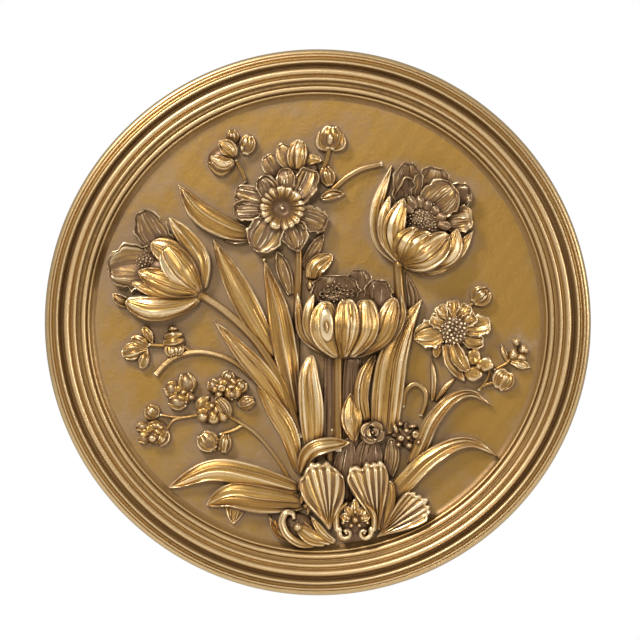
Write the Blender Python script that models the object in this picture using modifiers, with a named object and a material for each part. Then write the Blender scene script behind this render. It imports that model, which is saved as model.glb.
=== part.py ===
"""A round wall plaque cast in one piece: a turned frame, a flat field and flowers in high relief.

The plaque is modelled lying on its back. The drawing is in the XY plane, with the relief along +Z,
and the finished casting is stood up at the end: its back on the plane y = 0, its front towards -Y.
"""

import math

import bmesh
import bpy
from mathutils import Vector

# Driving sizes, in metres: heights are out from the wall
PLAQUE_RADIUS = 0.2000
FRAME_WIDTH = 0.0374
FIELD_THICKNESS = 0.0070
EDGE_HEIGHT = 0.0100
SHOULDER_HEIGHT = 0.0155
CREST_HEIGHT = 0.0215
COVE_HEIGHT = 0.0138
TORUS_HEIGHT = 0.0200
OUTER_BEAD_HEIGHT = 0.0185
GROOVE_HEIGHT = 0.0128
MIDDLE_BEAD_HEIGHT = 0.0146
INNER_BEAD_HEIGHT = 0.0116

# The dips beside the outer and inner beads, below their tops
NECK_DIP = 0.0015
VALLEY_DIP = 0.0013

# How far the relief's walls reach down into the field, and how much deeper each next one goes,
# so that no two of them end on the same plane
ROOT_DEPTH = 0.0020
ROOT_STEP = 0.00001

# The relief is drawn on a field with a radius of 100 units: x to the right, y up, h out of the field
FIELD_RADIUS = PLAQUE_RADIUS - FRAME_WIDTH
UNIT = FIELD_RADIUS / 100

FRAME_STEPS = 52
WELD = 0.000001
FLAT_ANGLE = math.radians(3)
KEPT_FACES = 0.86
SHARP_ANGLE = math.radians(32)

# How a blade's end closes: the power of its narrowing
POINTED = 1.0
ROUND = 0.5

# The lowest any edge of the relief lies above the field, in units, and how rows crowd towards a tip
LOWEST = 0.4
ROW_CROWDING = 1.35


def clear_scene():
    """Take every object out of the open scene."""
    for old in list(bpy.data.objects):
        bpy.data.objects.remove(old, do_unlink=True)


def new_collection(name):
    """A collection of its own under the scene."""
    collection = bpy.data.collections.new(name)
    bpy.context.scene.collection.children.link(collection)
    return collection


def gold_material():
    """Gold paint on cast resin, with a brown glaze."""
    material = bpy.data.materials.new("antique gold paint")
    material.use_nodes = True
    shader = material.node_tree.nodes["Principled BSDF"]
    shader.inputs["Base Color"].default_value = (0.42, 0.26, 0.09, 1.0)
    shader.inputs["Metallic"].default_value = 0.6
    shader.inputs["Roughness"].default_value = 0.42
    return material


def smooth_path(points, steps=12):
    """Points along a smooth curve through a few (x, y, h) points, with the share of its length at each."""
    knots = [Vector(point) for point in points]
    knots = [2 * knots[0] - knots[1], *knots, 2 * knots[-1] - knots[-2]]
    path = [knots[1]]
    for a, b, c, d in zip(knots, knots[1:], knots[2:], knots[3:]):
        for step in range(1, steps + 1):
            t = step / steps
            path.append(0.5 * (2 * b + (c - a) * t + (2 * a - 5 * b + 4 * c - d) * t * t
                               + (3 * b - a - 3 * c + d) * t ** 3))
    lengths = [0.0]
    for before, after in zip(path, path[1:]):
        lengths.append(lengths[-1] + (after - before).length)
    return path, [length / lengths[-1] for length in lengths]


def point_at(path, shares, share):
    """The point at a share of a path's length, and the plan direction there."""
    last = len(path) - 2
    index = min(max(sum(1 for value in shares if value <= share) - 1, 0), last)
    start, end = path[index], path[index + 1]
    along = (share - shares[index]) / (shares[index + 1] - shares[index])
    direction = Vector((end.x - start.x, end.y - start.y, 0.0)).normalized()
    return start.lerp(end, along), direction


def on_plaque(x, y, height):
    """A point of the drawing, in metres on the lying plaque."""
    return Vector((x * UNIT, y * UNIT, FIELD_THICKNESS + max(height, LOWEST) * UNIT))


class Relief:
    """The closed solids of one group of the relief, gathered for the union with the dish."""

    count = 0

    def __init__(self, name, collection):
        self.name = name
        self.collection = collection

    def add(self, bm):
        """Run walls from the open rim down into the field, close them below and keep the solid."""
        root = FIELD_THICKNESS - ROOT_DEPTH - ROOT_STEP * Relief.count
        Relief.count += 1
        bmesh.ops.remove_doubles(bm, verts=bm.verts, dist=WELD)
        rim = [edge for edge in bm.edges if edge.is_boundary]
        walls = bmesh.ops.extrude_edge_only(bm, edges=rim)["geom"]
        for vert in walls:
            if isinstance(vert, bmesh.types.BMVert):
                vert.co.z = root
        open_edges = [edge for edge in bm.edges if edge.is_boundary]
        bmesh.ops.edgeloop_fill(bm, edges=open_edges)
        bmesh.ops.recalc_face_normals(bm, faces=bm.faces)
        mesh = bpy.data.meshes.new(f"{self.name} {Relief.count}")
        bm.to_mesh(mesh)
        bm.free()
        piece = bpy.data.objects.new(mesh.name, mesh)
        piece.hide_render = True
        piece.display_type = "WIRE"
        self.collection.objects.link(piece)

    def blade(self, spine, half, peak=0.5, foot=0.5, taper=POINTED, tip=0.06, crown=0.8, ribs=0,
              rib=0.5, rows=4, columns=2):
        """A leaf, petal or stem along a spine: crowned or dished across, with ribs where asked."""
        path, shares = smooth_path(spine)
        columns = 2 * ribs if ribs else columns
        bm = bmesh.new()
        bmesh.ops.create_grid(bm, x_segments=columns, y_segments=rows, size=1.0)
        for vert in bm.verts:
            across = vert.co.x
            share = 1.0 - (0.5 - 0.5 * vert.co.y) ** ROW_CROWDING
            centre, direction = point_at(path, shares, share)
            if share < peak:
                width = foot + (1.0 - foot) * math.sin(0.5 * math.pi * share / peak)
            else:
                width = tip + (1.0 - tip) * (1.0 - ((share - peak) / (1.0 - peak)) ** 2) ** taper
            offset = across * half * width
            ridge = rib * width * math.cos(math.pi * ribs * (across + 1.0)) if ribs else 0.0
            height = centre.z - crown * across * across + ridge
            vert.co = on_plaque(centre.x + direction.y * offset, centre.y - direction.x * offset, height)
        self.add(bm)

    def stem(self, spine, half, thin=0.6, rows=5):
        """A round stem that thins towards its end."""
        self.blade(spine, half, peak=0.05, foot=1.0, taper=1.0, tip=thin, crown=half, rows=rows, columns=2)

    def dome(self, x, y, rx, ry, top, base=0.0, turn=0.0, sides=8, rings=4, lobes=0, lobe=0.12):
        """A bud or berry: the upper half of a ball, its sides carried down into the field."""
        bm = bmesh.new()
        bmesh.ops.create_uvsphere(bm, u_segments=sides, v_segments=rings, radius=1.0)
        below = [vert for vert in bm.verts if vert.co.z < -0.01]
        bmesh.ops.delete(bm, geom=below, context="VERTS")
        c, s = math.cos(math.radians(turn)), math.sin(math.radians(turn))
        for vert in bm.verts:
            reach = 1.0 + lobe * math.cos(lobes * math.atan2(vert.co.y, vert.co.x)) if lobes else 1.0
            u, v = vert.co.x * rx * reach, vert.co.y * ry * reach
            height = base + (top - base) * max(vert.co.z, 0.0)
            vert.co = on_plaque(x + c * u - s * v, y + s * u + c * v, height)
        self.add(bm)

    def cup(self, x, y, radius, mouth, top, depth, frills):
        """A frilled cup: a ring with a wavy edge round a sunk middle."""
        bm = bmesh.new()
        bmesh.ops.create_circle(bm, cap_ends=True, segments=2 * frills, radius=radius)
        disc = bm.faces[:]
        bmesh.ops.inset_individual(bm, faces=disc, thickness=radius - mouth)
        bmesh.ops.poke(bm, faces=disc)
        for vert in bm.verts:
            reach = vert.co.length
            if reach < 0.5 * mouth:
                height = top - depth
            elif reach < 0.5 * (mouth + radius):
                height = top - 0.3 * depth
            else:
                wave = math.cos(frills * math.atan2(vert.co.y, vert.co.x))
                vert.co *= 1.0 - 0.04 * (1.0 - wave)
                height = top - 0.6 + 0.6 * wave
            vert.co = on_plaque(x + vert.co.x, y + vert.co.y, height)
        self.add(bm)


def frame_profile():
    """The moulding from the field out to the back edge, as radius and height out from the wall."""
    members = (
        (1.000, FIELD_THICKNESS),
        (0.861, INNER_BEAD_HEIGHT),
        (0.824, INNER_BEAD_HEIGHT - VALLEY_DIP),
        (0.765, MIDDLE_BEAD_HEIGHT),
        (0.644, GROOVE_HEIGHT),
        (0.596, OUTER_BEAD_HEIGHT),
        (0.559, OUTER_BEAD_HEIGHT - NECK_DIP),
        (0.440, TORUS_HEIGHT),
        (0.353, COVE_HEIGHT),
        (0.265, CREST_HEIGHT),
        (0.225, SHOULDER_HEIGHT),
        (0.107, SHOULDER_HEIGHT),
        (0.000, EDGE_HEIGHT),
        (0.000, 0.0),
    )
    return [(PLAQUE_RADIUS - FRAME_WIDTH * share, height) for share, height in members]


def make_dish(collection):
    """The frame, turned from its profile, closed in front by the field and behind by the flat back."""
    profile = frame_profile()
    mesh = bpy.data.meshes.new("dish profile")
    points = [(radius, 0.0, height) for radius, height in profile]
    mesh.from_pydata(points, [(k, k + 1) for k in range(len(points) - 1)], [])
    turned = bpy.data.objects.new("dish profile", mesh)
    collection.objects.link(turned)
    screw = turned.modifiers.new("turn", "SCREW")
    screw.steps = FRAME_STEPS
    screw.render_steps = FRAME_STEPS
    screw.use_merge_vertices = True
    screw.merge_threshold = 0.0001
    bpy.context.view_layer.update()
    graph = bpy.context.evaluated_depsgraph_get()
    whole = bpy.data.meshes.new_from_object(turned.evaluated_get(graph))
    bpy.data.objects.remove(turned, do_unlink=True)
    bm = bmesh.new()
    bm.from_mesh(whole)
    bmesh.ops.remove_doubles(bm, verts=bm.verts, dist=WELD)
    bmesh.ops.holes_fill(bm, edges=[edge for edge in bm.edges if edge.is_boundary], sides=0)
    bmesh.ops.recalc_face_normals(bm, faces=bm.faces)
    bm.to_mesh(whole)
    bm.free()
    dish = bpy.data.objects.new("plaque", whole)
    collection.objects.link(dish)
    return dish


def upper_buds(r):
    """Three buds on one stem, high on the left."""
    r.stem([(-33, 63, 2.5), (-36.8, 72, 3.5)], 0.9, rows=1)
    r.dome(-44, 73.5, 6.6, 5.6, 6.5, turn=25)
    r.blade([(-37.5, 72.5, 6), (-42, 71, 7.5), (-48.5, 74, 6.5)], 2.6, foot=0.4, taper=ROUND, rows=3)
    r.blade([(-37.5, 73.5, 6.5), (-40.5, 77, 8.5), (-45, 81.5, 6.5)], 3.0, foot=0.4, rows=3)
    r.blade([(-39, 70.5, 4), (-44, 67.5, 4.5), (-49.5, 71, 3.5)], 1.7, foot=0.4, rows=3)
    r.dome(-38.6, 83.8, 2.6, 3.5, 5, turn=-15, sides=6)
    r.dome(-31.6, 79.8, 3.4, 4.6, 5.5, turn=20, sides=6)


def daffodil(r):
    """The large open flower: seven petals around a frilled cup."""
    r.stem([(-8.5, 14, 4), (-9, 33, 4)], 1.9, thin=0.9, rows=1)
    r.blade([(-20, 47, 7), (-24, 39, 6.5), (-27, 32.8, 6.5)], 7.4, foot=0.7, taper=0.3, tip=0.3, ribs=2, rows=3)
    r.blade([(-13, 46, 7), (-10.3, 39, 6.5), (-8.6, 31.8, 6.5)], 5.8, foot=0.7, taper=0.8, ribs=2, rows=3)
    r.blade([(-9, 48.5, 7), (-3, 46.5, 6.5), (4.2, 43.3, 6)], 5.0, foot=0.7, peak=0.4, taper=0.8, ribs=2, rows=3)
    r.blade([(-10, 54, 7), (-5.5, 60.5, 6.5), (-1, 68.6, 6)], 4.6, foot=0.6, taper=0.7, ribs=2, rows=3)
    r.blade([(-14.5, 58, 7.5), (-14.7, 64, 8), (-15, 69.6, 6)], 4.7, foot=0.7, taper=ROUND, ribs=1, rows=3)
    r.blade([(-19, 55.5, 7), (-23, 60.5, 6.5), (-26.5, 65, 5)], 4.8, foot=0.7, taper=ROUND, ribs=2, rows=3)
    r.blade([(-22, 53, 7), (-30, 54, 6), (-38.6, 54.6, 5)], 8.0, foot=0.6, peak=0.55, taper=0.4, ribs=3, rows=3)
    r.cup(-16, 51.5, 9.6, 4.8, top=11, depth=3.5, frills=14)


def back_flower(r):
    """The half-hidden flower above the daffodil, with the bud, small leaf and cut twig beside it."""
    r.blade([(-17, 67, 3.5), (-20, 70.5, 5), (-23, 75.2, 4)], 4.2, foot=0.7, taper=ROUND, ribs=2, rows=3)
    r.blade([(-10, 69.5, 4), (-13.5, 74, 6), (-17.3, 79.8, 5)], 3.8, foot=0.6, taper=0.7, ribs=1)
    r.blade([(-9, 69.5, 5), (-9.5, 75, 7.5), (-8.3, 81.5, 5.5)], 3.4, foot=0.6, taper=ROUND, rows=3)
    r.blade([(-7, 71, 3.5), (-2.5, 73.6, 5), (1.8, 72.5, 3)], 2.4, foot=0.6, taper=0.8, rows=3)
    r.stem([(0, 66, 3), (3.5, 72, 3.5), (5.6, 78, 4)], 1.2, rows=2)
    r.dome(5.6, 83, 6.3, 5.8, 7, sides=10)
    r.dome(4.4, 65.4, 3.5, 4.8, 5.5, turn=-12, sides=6)
    r.blade([(1, 55.8, 4), (6.5, 57.8, 5), (13.6, 57.2, 2.5)], 2.6, foot=0.4, peak=0.4)
    r.stem([(7, 60, 3), (13, 65.3, 3.2), (20, 69.2, 3.2), (29, 71.2, 3)], 1.2, thin=0.9, rows=4)


def left_tulip(r):
    """The tulip that lies to the left and opens away from its stem."""
    r.blade([(-67, 33, 4), (-75, 42, 4.5), (-79.5, 50.3, 6)], 7.2, taper=ROUND, crown=-2, columns=4)
    r.blade([(-72, 24.5, 4), (-84, 25, 4.5), (-94.8, 24.5, 6)], 10.2, taper=ROUND, crown=-2, columns=4)
    r.dome(-77, 28.5, 6.5, 7, 6.5)
    r.blade([(-51.5, 16, 5), (-54.5, 31, 8), (-66.8, 47, 6)], 4.0, taper=0.8, crown=1.8)
    r.blade([(-53, 16, 7), (-62, 31, 11.5), (-75.8, 33.5, 9)], 7.2, peak=0.55, taper=ROUND, crown=3, columns=4)
    r.blade([(-55, 10, 4), (-68, 6, 6.5), (-82, 9, 5.5), (-92, 11.6, 4)], 4.6, crown=2)
    r.blade([(-54, 12, 6), (-67, 10, 10), (-85, 13, 7)], 3.6, taper=0.7, crown=2)
    r.blade([(-53.5, 14, 7), (-66, 17.5, 12), (-81.5, 22.3, 8.5)], 4.8, peak=0.55, taper=0.6, ribs=2)
    r.blade([(-53, 14.5, 8), (-61, 23, 14), (-71.5, 33, 11)], 5.4, peak=0.45, taper=0.6, ribs=2, rows=5)


def right_tulip(r):
    """The tulip that leans right and shows its stamens."""
    r.blade([(34.5, 26, 4), (26.8, 37, 6), (26.8, 51, 6.5), (33.5, 70.2, 5)], 2.2, taper=0.9, rows=6)
    r.blade([(40, 46, 4), (40, 60, 5), (40, 71.5, 8)], 6.8, peak=0.6, taper=ROUND, crown=-1.5, columns=4)
    r.blade([(46, 46, 4), (50.5, 60, 5), (54, 69.6, 8)], 8.2, peak=0.6, taper=ROUND, crown=-1.5, columns=4)
    r.blade([(60, 55, 4), (64.5, 57, 5), (69, 57, 6.5)], 4.8, taper=ROUND, crown=-1, rows=3)
    r.blade([(50, 49, 6), (56, 55, 6.5), (61.8, 57.5, 9)], 7.2, taper=ROUND, crown=-1.5, columns=4)
    r.blade([(54, 45, 5), (63, 46.5, 6), (69, 46.5, 8)], 5.8, peak=0.55, taper=0.35, crown=-1.2, rows=3)
    r.blade([(38, 25.5, 4), (51, 25.2, 6), (62, 32, 6.5), (69.6, 41.5, 5)], 3.2, crown=1.4, rows=5)
    r.dome(48.5, 46.5, 10, 9.4, 8.5, sides=12, lobes=6, lobe=0.07)
    r.blade([(34.5, 27, 6), (30, 37, 9), (30, 47, 9.5), (32.8, 56.2, 8)], 2.2, taper=0.8)
    r.blade([(35, 27, 6), (33.6, 41, 12), (38.6, 55.6, 9.5)], 4.2, taper=0.6, ribs=2)
    r.blade([(48, 25, 6), (58.5, 31, 10), (62.6, 42, 8.5)], 3.6, taper=0.6)
    r.blade([(35.5, 27, 7), (39, 34.5, 14), (45.5, 41, 12)], 4.4, taper=ROUND, ribs=2)
    r.blade([(38, 26, 7), (48, 31, 15), (58.5, 40.5, 12)], 6.4, taper=ROUND, ribs=3, rows=5)


def centre_tulip(r):
    """The upright tulip in the middle, the highest form of the relief."""
    r.blade([(8, 4, 4), (8, 14, 5.5), (7.6, 21.2, 8)], 11, peak=0.6, taper=ROUND, crown=-1.2, columns=4)
    r.blade([(20, 4, 4), (19, 15, 5.2), (18.2, 24, 8)], 7.2, peak=0.6, taper=ROUND, crown=-1.2, rows=3)
    r.blade([(27, 4, 4), (27, 12, 5.2), (27.6, 19.2, 7.5)], 6.4, peak=0.6, taper=ROUND, crown=-1.2, rows=3)
    r.dome(10, 10.5, 9.5, 5.4, 8.5, sides=12, lobes=6, lobe=0.08)
    r.blade([(3, -14, 4), (-5.6, -5, 7), (-7.5, 5, 8), (-9, 13.6, 6.5)], 2.2, rows=5)
    r.blade([(4, -14, 6), (-2.4, -4, 10), (-3, 5, 11), (-1, 12.6, 9.5)], 2.4, taper=0.8)
    r.blade([(20, -14, 6), (29.4, -5, 11), (31.6, 4, 11), (34.6, 10.6, 8.5)], 4.2, taper=ROUND, ribs=2, rows=5)
    r.blade([(17, -14.5, 8), (21.6, -3, 14), (21, 10.2, 11.5)], 4.4, taper=ROUND, ribs=2)
    r.blade([(7, -14.5, 8), (2.6, -3, 15), (4, 9.2, 12)], 5.4, taper=ROUND, ribs=2)
    r.blade([(11, -15, 8), (12.8, -3, 16.5), (13, 10.2, 12.5)], 5.0, taper=ROUND, ribs=2)


def long_leaves(r):
    """The long leaves that fan out to the left and stand round the middle stem."""
    r.blade([(-28, 38.5, 4), (-40, 42, 5.5), (-53, 49, 5.5), (-62.6, 61.8, 3)], 5.2, ribs=2, rib=0.7, rows=6)
    r.blade([(-12, 14, 2.5), (-16, 24, 3.5), (-19, 33, 3)], 3.4, rows=2)
    r.blade([(-7, 24, 2.5), (-2, 32, 3.5), (3, 40.5, 2.5)], 3.2, rows=3)
    r.blade([(-19, -16, 3), (-29, 2, 5.5), (-38, 18, 6), (-47.3, 37.3, 3)], 5.6, ribs=2, rib=0.6, rows=6)
    r.blade([(-9, -40, 3), (-14.5, -14, 5), (-17.5, 4, 6), (-24, 28.5, 3)], 5.4, ribs=2, rib=0.6, rows=6)
    r.blade([(-9, -50, 3), (-21, -29, 5), (-33, -14.5, 5.5), (-47.3, 0.5, 2.5)], 4.6, ribs=2, rib=0.7, rows=5)
    r.blade([(-8, -68, 3), (-13, -50, 5), (-20, -38, 5.5), (-29.6, -22.8, 2.5)], 4.4, ribs=2, rib=0.7, rows=5)
    r.blade([(-1, 19, 4), (0, 25, 6), (6.6, 30.6, 3.5)], 4.4, foot=0.8, taper=0.8, ribs=2, rows=3)
    r.dome(-3, 16.4, 2.0, 2.8, 6, sides=6)
    r.blade([(-1, -52, 5), (-2.5, -36, 7), (-4, -25, 7.5), (-2.6, -15, 5)], 5.4, foot=0.8, taper=ROUND, ribs=2,
            rib=0.8)
    r.blade([(18, -58, 4), (14.5, -46, 6), (14.8, -30.5, 3.5)], 4.6, foot=0.6, ribs=1, rib=0.7)
    r.blade([(21.5, -45, 4), (20, -34, 6), (22, -23, 5.5), (27, -13, 3)], 3.6, foot=0.8, ribs=1, rib=0.6)


def stems(r):
    """The stems of the tulips and the thick stalks in the middle."""
    r.stem([(-8, -50, 3.5), (-15, -30, 4.5), (-27, -9.5, 5), (-41, 5, 5), (-54, 13.5, 5)], 2.3, rows=6)
    r.stem([(9.2, -56, 5), (9, -13, 5)], 1.8, thin=0.9, rows=1)
    r.stem([(5, -52, 3.2), (5.5, -13, 3.2)], 2.6, thin=0.9, rows=1)
    r.stem([(29, -13, 4), (38.5, 0, 5), (36, 14, 4.5), (36, 27, 5)], 2.6, thin=0.9, rows=5)
    r.blade([(41, -2, 2), (43, 10, 3), (39.5, 23, 2)], 2.6, rows=3)


def left_sprigs(r):
    """The arching sprig with its fruit, and the sprig of buds and berries below it."""
    arch = [(-29, -24.5, 3), (-41, -16, 3.5), (-53, -13.4, 3.5), (-65, -16.5, 3.5), (-73, -24, 3)]
    r.stem(arch, 1.1, thin=1.2, rows=7)
    r.stem([(-56, -13.5, 3), (-60, -10.5, 3.5)], 1.0, rows=1)
    r.dome(-65.5, -8.6, 4.7, 5.4, 6)
    r.dome(-65.4, -3.6, 2.0, 1.7, 4.5, sides=5)
    r.stem([(-69, -10.5, 3), (-76, -10, 3)], 0.9, rows=1)
    for x, y, turn in ((-82.5, -8.6, 15), (-84.5, -13, 5), (-81.5, -16.2, 30), (-78, -15.5, 65)):
        r.dome(x, y, 4.0, 1.8, 4, turn=turn, sides=6)
    r.dome(-76.8, -5.2, 2.0, 3.4, 4.5, turn=35, sides=6)

    r.stem([(-10, -76, 3), (-18, -63, 3), (-28, -50.5, 3), (-41, -41.5, 3)], 0.9)
    r.stem([(-34, -47.2, 2.5), (-38, -48, 2.5), (-44, -49.5, 2.5)], 0.8, rows=2)
    r.stem([(-54, -41.5, 2.5), (-71, -41.6, 2.5)], 0.7, rows=1)
    r.stem([(-61, -42.5, 2.5), (-65.5, -44.5, 2.5), (-68.5, -48, 2.5)], 0.7, rows=2)
    r.stem([(-53, -37, 2.5), (-60, -33, 2.5)], 0.7, rows=1)
    buds = (
        (-59, -27.6, 3.6, 4.4, 5.5, 10), (-65.8, -30.4, 3.8, 3.0, 5, -10), (-63.7, -36, 4.4, 3.2, 5.5, 0),
        (-46, -28.6, 3.2, 3.2, 5, 0), (-41.4, -26.6, 3.4, 2.8, 5.5, 0), (-37.3, -29.4, 3.4, 3.4, 5, 0),
        (-40.6, -32.2, 3.2, 2.6, 6, 30), (-32.4, -36, 4.2, 3.0, 5, -15),
        (-44.6, -37.4, 4.6, 5.0, 6.5, 20), (-51.6, -37.6, 3.6, 3.2, 5.5, 0), (-52, -42.6, 3.2, 2.8, 6, 0),
        (-47, -43.2, 3.4, 2.8, 6.5, 0), (-74.6, -40.4, 3.7, 3.7, 5, 0),
        (-78.6, -47, 3.6, 2.2, 4.5, 20), (-73, -46.6, 3.8, 2.4, 5, 10), (-78, -52.4, 3.2, 2.2, 4, 0),
        (-74.2, -52.2, 2.4, 2.8, 4.5, 0), (-69.8, -51.8, 3.4, 4.0, 5.5, -10),
        (-49.8, -53.4, 4.9, 5.3, 6, 0), (-41.6, -54.6, 2.9, 4.6, 5.5, 0),
    )
    for x, y, rx, ry, top, turn in buds:
        r.dome(x, y, rx, ry, top, turn=turn, sides=6)


def lower_left_leaves(r):
    """The two broad leaves that sweep left along the bottom, with the small shell tip below them."""
    r.blade([(-10, -75, 4), (-30, -69.5, 5.5), (-48, -65.8, 5.5), (-67, -74.6, 3)], 5.0, taper=0.9, ribs=2,
            rib=0.7, rows=6)
    r.blade([(-8, -80.5, 4), (-25, -80, 6), (-39, -77.6, 6), (-50.4, -81.2, 3)], 6.2, taper=0.7, ribs=2,
            rib=0.6, rows=6)
    r.blade([(-37, -82, 3), (-38.3, -90.6, 2)], 4.4, peak=0.2, foot=0.9, rows=2)


def anemone(r):
    """The open flower on the right: crinkled petals round a dome of stamens."""
    for x, y, turn in ((-5.5, 8.6, 30), (0, 11, 0), (5.5, 9, -30), (9.4, 5.4, -60), (-9, 4.6, 60)):
        r.dome(61 + x, -3 + y, 3.0, 3.6, 5, base=2.5, turn=turn, sides=6)
    r.blade([(66, -4, 5), (72, -3, 4.5), (78.3, -1.5, 5.5)], 5.4, taper=0.4, crown=-0.8, rows=3)
    r.blade([(66, -7, 4), (71, -8, 4), (75.4, -7.6, 4.5)], 3.4, taper=0.4, crown=-0.8, rows=3)
    r.blade([(56, -4, 5), (49, -5.5, 4.5), (42.8, -7, 4)], 6.4, foot=0.7, peak=0.4, taper=0.6, ribs=2, rows=3)
    r.blade([(55, -8, 4), (53.5, -12, 4.5), (52.6, -16.4, 3.5)], 2.2, taper=ROUND, rows=2)
    r.blade([(60, -9, 4.5), (61.5, -17, 5), (63.5, -25.8, 5)], 5.8, peak=0.4, taper=0.8, ribs=2)
    r.dome(61, -3.4, 7.6, 7.0, 8.5, base=3, sides=10)
    r.stem([(65.5, 5, 2.5), (70, 9, 2.5)], 0.8, rows=1)
    r.dome(73.2, 12, 5.0, 4.6, 6)
    r.blade([(51.5, -35, 2), (52, -26, 3), (50.5, -15, 2.5)], 1.6, foot=0.7, rows=3)
    r.blade([(53, -35, 2), (57.5, -29, 3), (63, -24, 2.5)], 1.6, foot=0.7, rows=3)


def right_sprigs(r):
    """The small three-petalled blossom, the bud and the leafy tip at the right edge."""
    r.stem([(72.5, -30, 2), (76.6, -25, 2.5), (78, -19, 2.5)], 0.7, rows=3)
    r.stem([(75, -28.5, 2), (80, -27, 2.5)], 0.8, rows=1)
    r.dome(70.2, -15.8, 2.9, 3.2, 5.5, base=2, sides=6)
    r.dome(75.3, -19.2, 3.0, 2.7, 5.5, base=2, sides=6)
    r.dome(69.8, -23.2, 3.9, 3.3, 5.5, base=2, sides=6)
    r.dome(83.2, -25.5, 4.9, 5.0, 6)
    r.stem([(80, -20.4, 2), (86, -18.4, 2.5), (88, -15, 2.5)], 0.7, rows=2)
    r.blade([(86, -18, 2.5), (84.2, -14, 3.2), (82.8, -9.8, 2)], 1.5, rows=2)
    r.blade([(87, -18.2, 2.5), (91, -18.8, 3.5), (95.4, -20, 2)], 1.9, rows=2)
    for x, y, rx, ry in ((88.2, -14.8, 2.2, 2.8), (92.6, -12.4, 2.4, 2.2), (91.6, -15.8, 2.4, 1.9), (89.4, -8.6, 1.8, 2)):
        r.dome(x, y, rx, ry, 4.5, sides=6)


def right_leaves(r):
    """The tall ribbed leaf, the loop beside it and the two leaves that curl over to the right."""
    r.blade([(30, -46, 5), (31.6, -30, 6.5), (34, -15, 7), (39.5, -1, 6), (46.6, 10.4, 3)], 7.2, foot=0.85,
            peak=0.35, taper=1.2, ribs=3, rib=0.7, rows=6)
    loop = [(38, -37, 3), (39.4, -30.5, 4), (43.8, -27, 4), (48, -30, 4), (48.6, -36, 3.5), (46.4, -42, 3)]
    r.stem(loop, 0.9, thin=0.9, rows=7)
    r.blade([(47.5, -54, 5), (52, -44, 6), (60, -34.6, 6), (69, -31.9, 5), (78.2, -37.6, 3)], 3.6, foot=0.9,
            peak=0.25, taper=1.1, ribs=2, rib=0.7, rows=6)
    r.blade([(37.5, -73.5, 4), (48, -63, 6), (60, -55.6, 6), (70, -54.4, 5), (80.2, -60.2, 3)], 4.6, foot=0.8,
            peak=0.3, taper=1.1, ribs=2, rib=0.8, rows=6)


def rosette_and_berries(r):
    """The small rose and the cluster of berries below the ribbed leaf, on their stalks."""
    r.blade([(22, -68, 3), (24, -54, 3)], 5.2, foot=0.9, taper=ROUND, ribs=2, rows=2)
    r.blade([(32, -69, 3), (33.5, -60, 4), (33, -52, 3)], 3.8, foot=0.5, taper=ROUND, rows=3)
    r.blade([(9, -63, 3), (16, -52, 3)], 4.6, foot=0.9, taper=ROUND, rows=2)
    r.dome(24.4, -49.4, 6.0, 5.8, 5.5, base=3.5, sides=10, lobes=5, lobe=0.08)
    r.dome(25, -50, 2.8, 2.8, 7.5, base=4, sides=6)
    for x, y in ((34.6, -48.4), (38.8, -46.4), (43.6, -48.4), (37.4, -52.8), (41.4, -51.2), (40.8, -55.8)):
        r.dome(x, y, 2.9, 2.7, 6.5, base=2, sides=6)


def shells(r):
    """The folded leaf, the two shells, the curled lobe and the ribbed fan at the foot of the bouquet."""
    r.blade([(-9, -69, 4), (-4.4, -58.5, 7), (3, -53.6, 8.5), (15.2, -53.2, 5)], 3.6, foot=0.5, taper=0.8,
            ribs=2, rib=0.7, rows=5)
    r.blade([(5.5, -94, 4), (3.5, -82, 6), (2.4, -64, 7.5)], 9.6, foot=0.15, peak=0.8, taper=0.35, ribs=4,
            rib=0.8)
    r.blade([(28, -94, 4), (25, -82, 6), (21.5, -63.4, 7.5)], 9.2, foot=0.15, peak=0.8, taper=0.35, ribs=4,
            rib=0.8)
    r.blade([(28, -96, 3), (38, -89, 4.5), (49, -81, 5)], 8.0, foot=0.1, peak=0.8, taper=0.4, ribs=4,
            rib=0.7, rows=3)
    r.blade([(28.5, -95, 4), (31.6, -84, 7), (32.6, -71, 7)], 3.0, foot=0.3, peak=0.7, taper=ROUND, rows=3)


def medallion_and_scrolls(r):
    """The round boss with two small volutes, and the large scroll on its left."""
    r.dome(16.8, -89, 8.8, 8.6, 8.5, base=5.5, sides=12)
    for side in (-1, 1):
        volute = [(16.8 + side * 3.4, -81.4, 8), (16.8 + side * 8.4, -87.5, 8.5), (16.8 + side * 6.2, -96, 8.5),
                  (16.8 + side * 1.6, -96.4, 8.5), (16.8 + side * 2.4, -93.6, 8.5)]
        r.blade(volute, 1.0, foot=0.7, peak=0.4, taper=POINTED, tip=0.6, crown=0.7, rows=7)
    r.blade([(4, -98, 4), (-3, -95, 6), (-9.5, -91, 7)], 4.4, foot=0.6, taper=ROUND, crown=1.5, rows=3)
    hook = [(-3, -99.4, 4), (-11, -97, 6), (-15.6, -90.5, 7), (-13.4, -85.4, 7), (-10.6, -87.4, 6.5)]
    r.blade(hook, 1.5, foot=0.7, peak=0.4, tip=0.6, crown=0.8, rows=7)
    r.blade([(-9, -98.5, 3), (-17.5, -94, 4), (-21.6, -86, 3)], 2.2, foot=0.6, rows=3)
    r.blade([(8, -98, 3.5), (1, -93.6, 4.5), (-6.4, -85.6, 4)], 1.8, foot=0.7, rows=3)


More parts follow.
